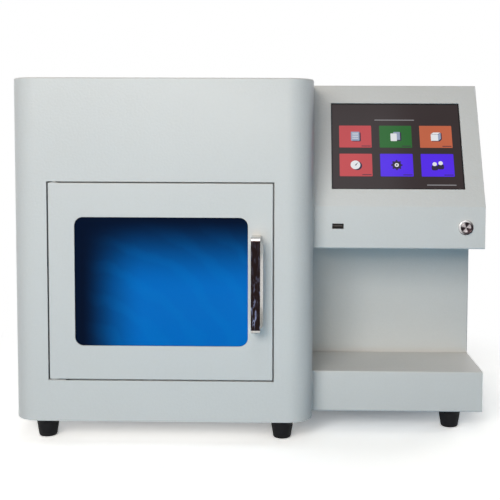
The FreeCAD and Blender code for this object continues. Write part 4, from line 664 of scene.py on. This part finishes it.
TONGUE_MARGIN = 0.0007
TONGUE_RISE = 0.0023
CONTACT = {"width": 0.0009, "height": 0.007, "radius": 0.0003, "steps": 3}
CONTACT_SETBACK = 0.0006
CONTACT_THICKNESS = 0.0001
CONTACT_COUNT = 4
tongue_plastic = plastic_finish("tongue_plastic", (0.016, 0.012, 0.010), (0.035, 0.026, 0.022),
                                rough=(0.35, 0.5))
gilt = metal_finish("gilt_contact", (0.60, 0.38, 0.10), (0.85, 0.62, 0.24), rough=(0.2, 0.35),
                    stretch=(300, 300, 300))
tongue_low, tongue_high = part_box("port_tongue")
tongue = cad_copy("port_tongue")
contact_pitch = (tongue_high.x - tongue_low.x - 2 * TONGUE_MARGIN) / CONTACT_COUNT
contact_floor = tongue_low.z + TONGUE_RISE
for step in range(CONTACT_COUNT):
    middle = tongue_low.x + TONGUE_MARGIN + contact_pitch * (step + 0.5)
    add_slab(tongue, rounded_outline(middle - CONTACT["width"] / 2,
                                     tongue_low.y + CONTACT_SETBACK, **CONTACT),
             contact_floor - CONTACT_THICKNESS, contact_floor, index=1)
finish_piece("port_insert", tongue, [tongue_plastic, gilt], "cabinet", "port_tongue")


# ------------------------------
# Power button: a turned steel bezel with a stepped, polished rim, and a steel cap with a fine
# circular grain that slides in it. Both are turned on a lathe and held by a nut from behind.
def add_turned(bm, outline, place=Matrix(), steps=72):
    """Spin (radius, height) points round Z; a point on the axis closes that end."""
    turns = [math.tau * step / steps for step in range(steps)]
    rings = []
    for radius, height in outline:
        ring = [(radius * math.cos(turn), radius * math.sin(turn), height) for turn in turns]
        rings.append([bm.verts.new(place @ Vector(point))
                      for point in (ring if radius else ring[:1])])
    for first, second in zip(rings, rings[1:] + rings[:1]):
        for step in range(steps):
            following = (step + 1) % steps
            corners = list(dict.fromkeys((
                first[step % len(first)], first[following % len(first)],
                second[following % len(second)], second[step % len(second)])))
            if len(corners) > 2:
                bm.faces.new(corners)
    bmesh.ops.recalc_face_normals(bm, faces=bm.faces)


def turned_piece(name, outline, place, finish, body, node, soft=0.0, steps=72):
    """A lathe-turned piece."""
    bm = bmesh.new()
    add_turned(bm, outline, place, steps)
    finish_piece(name, bm, [finish], body, node, soft=soft)


def spun_finish(name, middle, dark, light, sectors, start, rough, axis="Y"):
    """A faced metal: bright and dark fans of painted reflection round its middle, over tool rings.
    """
    made, tree, shader = new_finish(name, Metallic=1.0)
    centred = moved(tree, own_place(tree), Location=-middle)
    flat = add(tree, "SeparateXYZ", Vector=centred).outputs
    turn = maths(tree, "ARCTAN2", flat["Z" if axis == "Y" else "Y"], flat["X"])
    # Painted reflection: the fans brighten and darken the colour by the turn round the middle.
    reflection_fans = maths(tree, "SINE", maths(tree, "MULTIPLY_ADD", turn, sectors, start))
    rings = add(tree, "TexWave", {"wave_type": "RINGS", "rings_direction": axis},
                Vector=centred, Scale=900.0, Distortion=0.4).outputs["Fac"]
    skin = add(tree, "Bump", Strength=0.12, Distance=0.00005, Height=rings)
    feed(tree, shader, Base_Color=blend_colours(tree, ramp(tree, reflection_fans, -0.7, 0.8), dark, light),
         Roughness=spread_value(tree, rings, *rough), Normal=skin.outputs[0])
    return made


bezel_low, bezel_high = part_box("button_body")
cap_low, cap_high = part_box("button_cap")
button_middle = box_middle("button_body")
button_middle.y = bezel_low.y
# Painted reflection: the bright and dark fans on the bezel and the cap.
button_steel = spun_finish("button_steel", button_middle, (0.035, 0.026, 0.030),
                           (0.72, 0.70, 0.70), sectors=1.0, start=-0.9, rough=(0.10, 0.2))
cap_steel = spun_finish("cap_steel", button_middle, (0.022, 0.014, 0.017), (0.44, 0.40, 0.41),
                        sectors=3.0, start=0.6, rough=(0.18, 0.3))
BEZEL_RADIUS = 0.0091
BEZEL_RISE = 0.002
BARREL_RADIUS = 0.0079
BARREL_END = bezel_high.y - bezel_low.y - BEZEL_RISE
BUTTON_BORE = 0.0061
BUTTON_FLOOR = 0.0154
turned_piece("button_bezel", [
    (BUTTON_BORE, -BUTTON_FLOOR), (BUTTON_BORE, BEZEL_RISE - 0.0006),
    (BUTTON_BORE + 0.0004, BEZEL_RISE - 0.0002), (0.0071, BEZEL_RISE - 0.0001),
    (0.0074, BEZEL_RISE), (0.0081, BEZEL_RISE), (0.0086, BEZEL_RISE - 0.0003),
    (0.0090, BEZEL_RISE - 0.0009), (BEZEL_RADIUS, 0.0004), (BEZEL_RADIUS, 0),
    (BARREL_RADIUS, 0), (BARREL_RADIUS, -BARREL_END), (0, -BARREL_END), (0, -BUTTON_FLOOR),
], facing_front(button_middle.x, button_middle.y + BEZEL_RISE, button_middle.z),
    button_steel, "cabinet", "button_body", soft=0.00012, steps=96)
CAP_RADIUS = 0.006
CAP_BORE = 0.0046
CAP_END = cap_low.y - cap_high.y
CAP_FLOOR = CAP_END + 0.008
turned_piece("button_plunger", [
    (0, -0.00035), (0.0030, -0.00030), (0.0050, -0.00012), (0.0054, 0), (0.0057, 0),
    (CAP_RADIUS, -0.0003), (CAP_RADIUS, CAP_END), (CAP_BORE, CAP_END), (CAP_BORE, CAP_FLOOR),
    (0, CAP_FLOOR),
], facing_front(button_middle.x, cap_low.y, button_middle.z), cap_steel, "button", "button_cap",
    soft=0.0001, steps=96)


# ------------------------------
# Feet: moulded black rubber cones with a rounded tip and a recess for the screw, one under each
# corner of the cabinet and two under the wing's outer side.
def solid_boxes(node):
    """The lowest and highest corner of each separate solid in a CAD node."""
    bm = joined_copy(node)
    waiting = set(bm.verts)
    boxes = []
    while waiting:
        island = [waiting.pop()]
        for vert in island:
            for edge in vert.link_edges:
                other = edge.other_vert(vert)
                if other in waiting:
                    waiting.remove(other)
                    island.append(other)
        boxes.append([Vector([choose(vert.co[axis] for vert in island) for axis in range(3)])
                      for choose in (min, max)])
    bm.free()
    return sorted(boxes, key=lambda box: tuple(round(part, 5) for part in box[0]))


def geometry_group(name, **inputs):
    """An empty geometry group with its given outputs and its inputs' identifiers."""
    tree = bpy.data.node_groups.new(name, "GeometryNodeTree")
    sockets = {label: tree.interface.new_socket(label.replace("_", " "), in_out="INPUT",
                                                socket_type="NodeSocket" + kind).identifier
               for label, kind in inputs.items()}
    tree.interface.new_socket("Geometry", in_out="OUTPUT", socket_type="NodeSocketGeometry")
    return tree, add(tree, "NodeGroupInput").outputs, sockets


def make_real(tree, geometry, finish):
    """End a geometry group: its copies become plain geometry and get their finish."""
    real = add(tree, "GeometryNodeRealizeInstances", Geometry=geometry)
    dressed = add(tree, "GeometryNodeSetMaterial", Geometry=real.outputs[0], Material=finish)
    add(tree, "NodeGroupOutput", Geometry=dressed.outputs[0])


def grown_mesh(name, start, tree, sockets, **values):
    """The plain mesh that a geometry group makes from a start mesh."""
    holder = bpy.data.objects.new(name + "_holder", start)
    bpy.context.collection.objects.link(holder)
    modifier = holder.modifiers.new("grow", "NODES")
    modifier.node_group = tree
    for label, given in values.items():
        modifier[sockets[label]] = given
    bpy.context.view_layer.update()
    ready = holder.evaluated_get(bpy.context.evaluated_depsgraph_get())
    mesh = bpy.data.meshes.new_from_object(ready)
    mesh.name = name
    bpy.data.objects.remove(holder)
    return mesh


# It sets one pattern on every point, facing as the point says and turned loosely round that.
repeater, given, repeater_sockets = geometry_group(
    "set_on_points", Points="Geometry", Pattern="Object", Finish="Material", Loose_Turn="Float",
    Seed="Int")
pattern = add(repeater, "GeometryNodeObjectInfo", Object=given["Pattern"])
facing = add(repeater, "GeometryNodeInputNamedAttribute", {"data_type": "FLOAT_VECTOR"},
             Name="facing")
aimed = add(repeater, "FunctionNodeAlignRotationToVector", {"axis": "Z"},
            Vector=facing.outputs["Attribute"])
chance = add(repeater, "FunctionNodeRandomValue", {"data_type": "FLOAT"}, Seed=given["Seed"])
repeater.links.new(given["Loose Turn"], chance.inputs[3])
spun = add(repeater, "FunctionNodeAxisAngleToRotation", Axis=(0, 0, 1), Angle=chance.outputs[1])
turned = add(repeater, "FunctionNodeRotateRotation", {"rotation_space": "LOCAL"},
             Rotation=aimed.outputs["Rotation"], Rotate_By=spun.outputs["Rotation"])
copies = add(repeater, "GeometryNodeInstanceOnPoints", Points=given["Points"],
             Instance=pattern.outputs["Geometry"], Rotation=turned.outputs["Rotation"])
make_real(repeater, copies.outputs["Instances"], given["Finish"])


def repeated_mesh(name, pattern, points, finish, loose_turn=0.0, seed=1):
    """Copies of a pattern at (place, facing) points, as one plain mesh."""
    source = bpy.data.objects.new(name + "_pattern", pattern)
    bpy.context.collection.objects.link(source)
    spots = bpy.data.meshes.new(name + "_spots")
    spots.from_pydata([place for place, _ in points], [], [])
    layer = spots.attributes.new("facing", "FLOAT_VECTOR", "POINT")
    for item, (_, facing) in zip(layer.data, points):
        item.vector = facing
    mesh = grown_mesh(name, spots, repeater, repeater_sockets, Pattern=source, Finish=finish,
                      Loose_Turn=loose_turn, Seed=seed)
    bpy.data.objects.remove(source)
    return mesh


UPWARD = Vector((0, 0, 1))
foot = bmesh.new()
add_turned(foot, [
    (0.0021, 0.012), (0.0021, 0.024), (0.0138, 0.024), (0.0140, 0.0236), (0.0139, 0.0225),
    (0.0131, 0.0172), (0.0128, 0.0166), (0.0128, 0.0158), (0.0129, 0.0152), (0.0109, 0.0032),
    (0.0106, 0.0015), (0.0099, 0.0004), (0.0090, 0), (0.0068, 0), (0.0062, 0.0003),
    (0.006, 0.0008), (0.006, 0.012),
], steps=56)
foot_points = [(((low.x + high.x) / 2, (low.y + high.y) / 2, low.z), UPWARD)
               for low, high in solid_boxes("feet")]
place_piece("rubber_feet", repeated_mesh("rubber_feet", smooth_mesh("foot", foot), foot_points,
                                         black_rubber), "cabinet", "feet")

# ------------------------------
# Screws: zinc-plated pan heads with a cross recess hold the covers, the fan, the deck, the feet
# and the door's skin. Each head is one pattern and each millimetre of thread another.
HEAD_RADIUS = 0.0038
HEAD_RISE = 0.0024
HEAD_CORNERS = 24
HEAD_DOME = ((1.0, 0), (1.0, 0.0011), (0.95, 0.0017), (0.84, 0.0021))
SHANK_RADIUS = 0.002
THREAD_ROOT = SHANK_RADIUS * 0.84
THREAD_STEP = 0.001
STEPS_PER_METRE = 1000
RECESS_DEPTH = 0.0014
RECESS_ARM = 0.0021
RECESS_WIDTH = 0.0009
RECESS_TAPER = 0.7
fastener_steel = metal_finish("fastener_steel", (0.42, 0.42, 0.40), (0.74, 0.74, 0.71),
                              rough=(0.22, 0.4), stretch=(400, 400, 400), depth=0.06)


def make_screw_head():
    """A domed pan head on Z, its seat at the origin, with a cross recess cut into it."""
    bm = bmesh.new()
    rim = ring_outline(0, 0, HEAD_RADIUS, HEAD_CORNERS)
    dome = [[bm.verts.new((x * share, y * share, z)) for x, y in rim] for share, z in HEAD_DOME]
    bm.faces.new(list(reversed(dome[0])))
    bridge(bm, *dome)
    half = RECESS_WIDTH / 2
    star = [Matrix.Rotation(quarter * math.pi / 2, 2) @ Vector(corner) for quarter in range(4)
            for corner in ((RECESS_ARM, -half), (RECESS_ARM, half), (half, half))]
    top = [bm.verts.new((x, y, HEAD_RISE)) for x, y in star]
    sunk = [bm.verts.new((x * RECESS_TAPER, y * RECESS_TAPER, HEAD_RISE - RECESS_DEPTH))
            for x, y in star]
    outer = [bm.edges.get((dome[-1][step - 1], dome[-1][step])) for step in range(HEAD_CORNERS)]
    inner = [bm.edges.new((top[step - 1], top[step])) for step in range(len(top))]
    bmesh.ops.triangle_fill(bm, edges=outer + inner, use_beauty=True)
    bridge(bm, top, sunk)
    bm.faces.new(sunk)
    bmesh.ops.recalc_face_normals(bm, faces=bm.faces)
    return smooth_mesh("screw_head", bm)


def make_screw_thread():
    """A step of threaded shank on Z, below the origin."""
    bm = bmesh.new()
    add_turned(bm, [(0, 0), (SHANK_RADIUS, 0), (THREAD_ROOT, -0.33 * THREAD_STEP),
                    (SHANK_RADIUS, -0.66 * THREAD_STEP), (THREAD_ROOT, -THREAD_STEP),
                    (0, -THREAD_STEP)], steps=12)
    return smooth_mesh("screw_shank", bm)


def screw_points(node):
    """Where each head sits and faces, and where each step of thread below it does."""
    heads = []
    threads = []
    for low, high in solid_boxes(node):
        size = high - low
        seat = (low + high) / 2
        if size.y > size.z:
            axis, facing, end = 1, Vector((0, 1, 0)), high.y - HEAD_RISE
        elif low.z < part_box("base_plate")[0].z:
            axis, facing, end = 2, -UPWARD, low.z + HEAD_RISE
        else:
            axis, facing, end = 2, UPWARD, high.z - HEAD_RISE
        seat[axis] = end
        heads.append((seat, facing))
        threads += [(seat - facing * step * THREAD_STEP, facing)
                    for step in range(round((size[axis] - HEAD_RISE) * STEPS_PER_METRE))]
    return heads, threads


for name, node, body, seed in (("case_screw", "case_screws", "cabinet", 7),
                               ("door_screw", "door_screws", "door", 8)):
    heads, threads = screw_points(node)
    place_piece(name + "_heads", repeated_mesh(name + "_heads", make_screw_head(), heads,
                                               fastener_steel, math.tau, seed), body, node)
    place_piece(name + "_shanks", repeated_mesh(name + "_shanks", make_screw_thread(), threads,
                                                fastener_steel), body, node)

# ------------------------------
# Base and corners: the cabinet's base plate and the folded blocks in its corners and the wing's,
# all of zinc-plated steel, with their edges broken after cutting.
metal_finish("zinc_sheet", (0.30, 0.31, 0.32), (0.52, 0.53, 0.54), rough=(0.3, 0.5),
             stretch=(60, 60, 60), depth=0.05)
edged_copy("base_sheet", "base_plate")
edged_copy("corner_angles", "corner_blocks", ROUND_EDGE)

# ------------------------------
# Chamber: a brushed stainless liner behind the door's opening, welded at its corners, and a
# raised deck of the same sheet that the measuring cell's neck comes through.
metal_finish("chamber_steel", (0.27, 0.275, 0.28), (0.47, 0.475, 0.48), rough=(0.30, 0.45),
             stretch=(12, 900, 900), depth=0.08)
edged_copy("chamber_box", "chamber_liner")
edged_copy("deck_sheet", "cell_deck")

# ------------------------------
# Measuring cell: an anodised aluminium block with a bored well, the steel cup that stands in it,
# and the temperature probe screwed into its side.
metal_finish("machined_aluminium", (0.50, 0.51, 0.52), (0.70, 0.705, 0.71), rough=(0.24, 0.38),
             stretch=(700, 700, 60))
edged_copy("cell_body", "cell_block", BLOCK_EDGE)
edged_copy("steel_cup", "sample_cup")
edged_copy("probe_body", "temperature_probe")

# ------------------------------
# Cell cap: a turned aluminium knob with round grips in its rim, the plug that it lifts, the disc
# that keeps it on the plug's stub, and the rubber ring that seals the cell's neck.
# Painted reflection: the knob's bright and dark fans round its middle.
turned_aluminium = spun_finish(
    "turned_aluminium", box_middle("cap_knob"), (0.34, 0.345, 0.35), (0.66, 0.665, 0.67),
    sectors=2.0, start=0.4, rough=(0.22, 0.36), axis="Z")
WIDE_EDGE = 0.0006
edged_copy("grip_knob", "cap_knob", WIDE_EDGE, "knob", turned_aluminium)
edged_copy("plug_body", "cap_plug", ROUND_EDGE, "cap", turned_aluminium)
edged_copy("stub_disc", "cap_button", ROUND_EDGE, "cap", turned_aluminium)
edged_copy("plug_ring", "cap_seal_ring", 0.0009, "cap")

# ------------------------------
# Door's inner side: a zinc-plated skin screwed behind the pan, a soft rubber seal round it, and
# the plate that the catch holds. Two acetal bushes turn on the pins.
plastic_finish("white_plastic", (0.60, 0.59, 0.56), (0.74, 0.73, 0.70), rough=(0.35, 0.5))
edged_copy("inner_sheet", "door_inner_skin", body="door")
edged_copy("door_rubber", "door_seal", 0.0010, "door")
edged_copy("catch_plate", "strike_plate", body="door")
edged_copy("hinge_bushes", "pivot_bushes", body="door")

# ------------------------------
# Door surround: a zinc-plated frame behind the cabinet's front, with the hinges' brackets and
# steel pins on its left and the magnetic catch, in black plastic, on its right.
black_plastic = plastic_finish("black_plastic", (0.012, 0.012, 0.013), (0.03, 0.03, 0.032),
                               rough=(0.4, 0.55))
edged_copy("surround_frame", "door_jamb")
edged_copy("hinge_brackets", "pivot_brackets")
edged_copy("hinge_pins", "pivot_pins")
edged_copy("catch_body", "catch_magnet", ROUND_EDGE)

# ------------------------------
# Mains inlet: a moulded socket in the rear panel with three plated pins, and above them a small
# drawer for the fuse that slides out.
edged_copy("inlet_socket", "mains_inlet", ROUND_EDGE)
edged_copy("inlet_pins", "mains_pins")
edged_copy("fuse_carrier", "fuse_drawer", body="drawer")

# ------------------------------
# Fan: a moulded square frame, a bright wire guard outside the rear panel, and a rotor whose
# hub carries seven swept blades that flatten towards their tips.
edged_copy("fan_housing", "fan_frame", BLOCK_EDGE)
edged_copy("wire_guard", "fan_guard", ROUND_EDGE)
rotor_low, rotor_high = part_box("fan_rotor")
fan_middle = box_middle("fan_guard")
HUB_RADIUS = 0.012
HUB_BORE = 0.00306
HUB_DEPTH = rotor_high.y - rotor_low.y
BLADE_COUNT = 7
BLADE_LENGTH = 0.0134
BLADE_THICKNESS = 0.0011
BLADE_CAMBER = 0.0012
BLADE_SWEEP = 0.0018
ROOT_REACH, REACH_GAIN = 0.0044, 0.0024
ROOT_RISE, RISE_LOSS = 0.0062, 0.0022
turned_piece("rotor_hub", [
    (HUB_BORE, 0), (0.0098, 0), (0.0112, 0.0003), (0.0118, 0.0009), (HUB_RADIUS, 0.0018),
    (HUB_RADIUS, HUB_DEPTH), (HUB_BORE, HUB_DEPTH),
], facing_front(fan_middle.x, rotor_high.y, fan_middle.z), black_plastic, "fan", "fan_rotor")
blade = bmesh.new()
blade_rings = []
for share in (0, 0.25, 0.5, 0.75, 1):
    ring = []
    for side in (1, -1):
        for step in range(6):
            along = (step / 5 * 2 - 1) * side
            ring.append(blade.verts.new((
                (ROOT_REACH + REACH_GAIN * share) * along + BLADE_SWEEP * share,
                (ROOT_RISE - RISE_LOSS * share) * along + BLADE_CAMBER * (1 - along * along)
                - side * BLADE_THICKNESS / 2,
                BLADE_LENGTH * share)))
    blade_rings.append(ring)
bridge(blade, *blade_rings)
close_ends(blade, blade_rings)
bmesh.ops.recalc_face_normals(blade, faces=blade.faces)
hub_middle = Vector((fan_middle.x, (rotor_low.y + rotor_high.y) / 2, fan_middle.z))
blade_points = []
for step in range(BLADE_COUNT):
    angle = math.tau * (step + 0.25) / BLADE_COUNT
    arm = Vector((math.sin(angle), 0, math.cos(angle)))
    blade_points.append((hub_middle + arm * (HUB_RADIUS - 0.0004), arm))
place_piece("rotor_blades", repeated_mesh("rotor_blades", smooth_mesh("blade", blade),
                                          blade_points, black_plastic), "fan", "fan_rotor")

# ------------------------------
# Gas side: turned brass fittings and steel nuts in the rear panel, thin steel lines, an
# aluminium manifold with two solenoid valves, the pressure sensor and the reference vessel.
metal_finish("fitting_brass", (0.42, 0.27, 0.09), (0.72, 0.52, 0.22), rough=(0.18, 0.35),
             stretch=(500, 40, 500))
edged_copy("brass_fittings", "gas_fittings")
edged_copy("steel_nuts", "lock_nuts", ROUND_EDGE)
edged_copy("steel_lines", "gas_lines", 0.0)
edged_copy("manifold_block", "gas_manifold", BLOCK_EDGE)
edged_copy("valve_stems", "valve_bodies", ROUND_EDGE)
edged_copy("coil_housings", "valve_coils", WIDE_EDGE)
edged_copy("sensor_can", "pressure_sensor", ROUND_EDGE)
edged_copy("vessel_body", "reference_chamber", BLOCK_EDGE)
edged_copy("vessel_plug", "reference_plug", ROUND_EDGE)

# ------------------------------
# Electronics: a green board with black components on plated standoffs, and the power supply in
# its folded aluminium case.
BOARD_THICKNESS = 0.0016
BOARD_SLACK = 0.00002
board_green = plastic_finish("board_green", (0.008, 0.075, 0.022), (0.015, 0.14, 0.04),
                             rough=(0.25, 0.4))
board_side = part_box("control_board")[1].x - BOARD_THICKNESS - BOARD_SLACK
board = cad_copy("control_board")
for face in board.faces:
    face.material_index = int(face.calc_center_median().x <= board_side)
finish_piece("green_board", board, [board_green, black_plastic], "cabinet", "control_board",
             soft=0.0002)
edged_copy("board_posts", "board_standoffs")
edged_copy("supply_case", "power_supply", WIDE_EDGE)

# ------------------------------
# Behind the console: the display's panel with its plated brackets, and the bolts that join the
# wing to the cabinet.
edged_copy("panel_case", "display_panel", ROUND_EDGE)
edged_copy("panel_brackets", "display_brackets")
edged_copy("joining_bolts", "wing_bolts")

# ------------------------------
# Button spring: a coil of hard-drawn steel wire in the bezel, behind the button's cap. It keeps
# the length that it has with the cap pushed in. Its ends are cut off and not ground flat.
SPRING_TURNS = 6.0
SPRING_WIRE = 0.00045
coil, given, coil_sockets = geometry_group(
    "coil", Turns="Float", Coil_Radius="Float", Wire_Radius="Float", Length="Float",
    Finish="Material")
path = add(coil, "GeometryNodeCurveSpiral", Resolution=28, Rotations=given["Turns"],
           Start_Radius=given["Coil Radius"], End_Radius=given["Coil Radius"],
           Height=given["Length"])
wire = add(coil, "GeometryNodeCurvePrimitiveCircle", Resolution=10, Radius=given["Wire Radius"])
swept = add(coil, "GeometryNodeCurveToMesh", Curve=path.outputs["Curve"],
            Profile_Curve=wire.outputs["Curve"], Fill_Caps=True)
make_real(coil, swept.outputs["Mesh"], given["Finish"])
spring_low, spring_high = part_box("button_spring")
spring_middle = box_middle("button_spring")
coil_mesh = grown_mesh("coil_spring", bpy.data.meshes.new("coil"), coil, coil_sockets,
                       Turns=SPRING_TURNS, Wire_Radius=SPRING_WIRE, Finish=fastener_steel,
                       Coil_Radius=(spring_high.x - spring_low.x) / 2 - SPRING_WIRE,
                       Length=spring_high.y - spring_low.y - 2 * SPRING_WIRE)
coil_mesh.transform(facing_front(spring_middle.x, spring_high.y - SPRING_WIRE, spring_middle.z))
place_piece("coil_spring", coil_mesh, "cabinet", "button_spring")

# ------------------------------
# The CAD nodes behind the pieces take the finish of their slot. The button's is its cap's.
FINISHES["button_steel"] = cap_steel
for node, slot in SLOTS.items():
    for socket in frame["nodes"][node].material_slots:
        socket.link = "OBJECT"
        socket.material = FINISHES[slot]
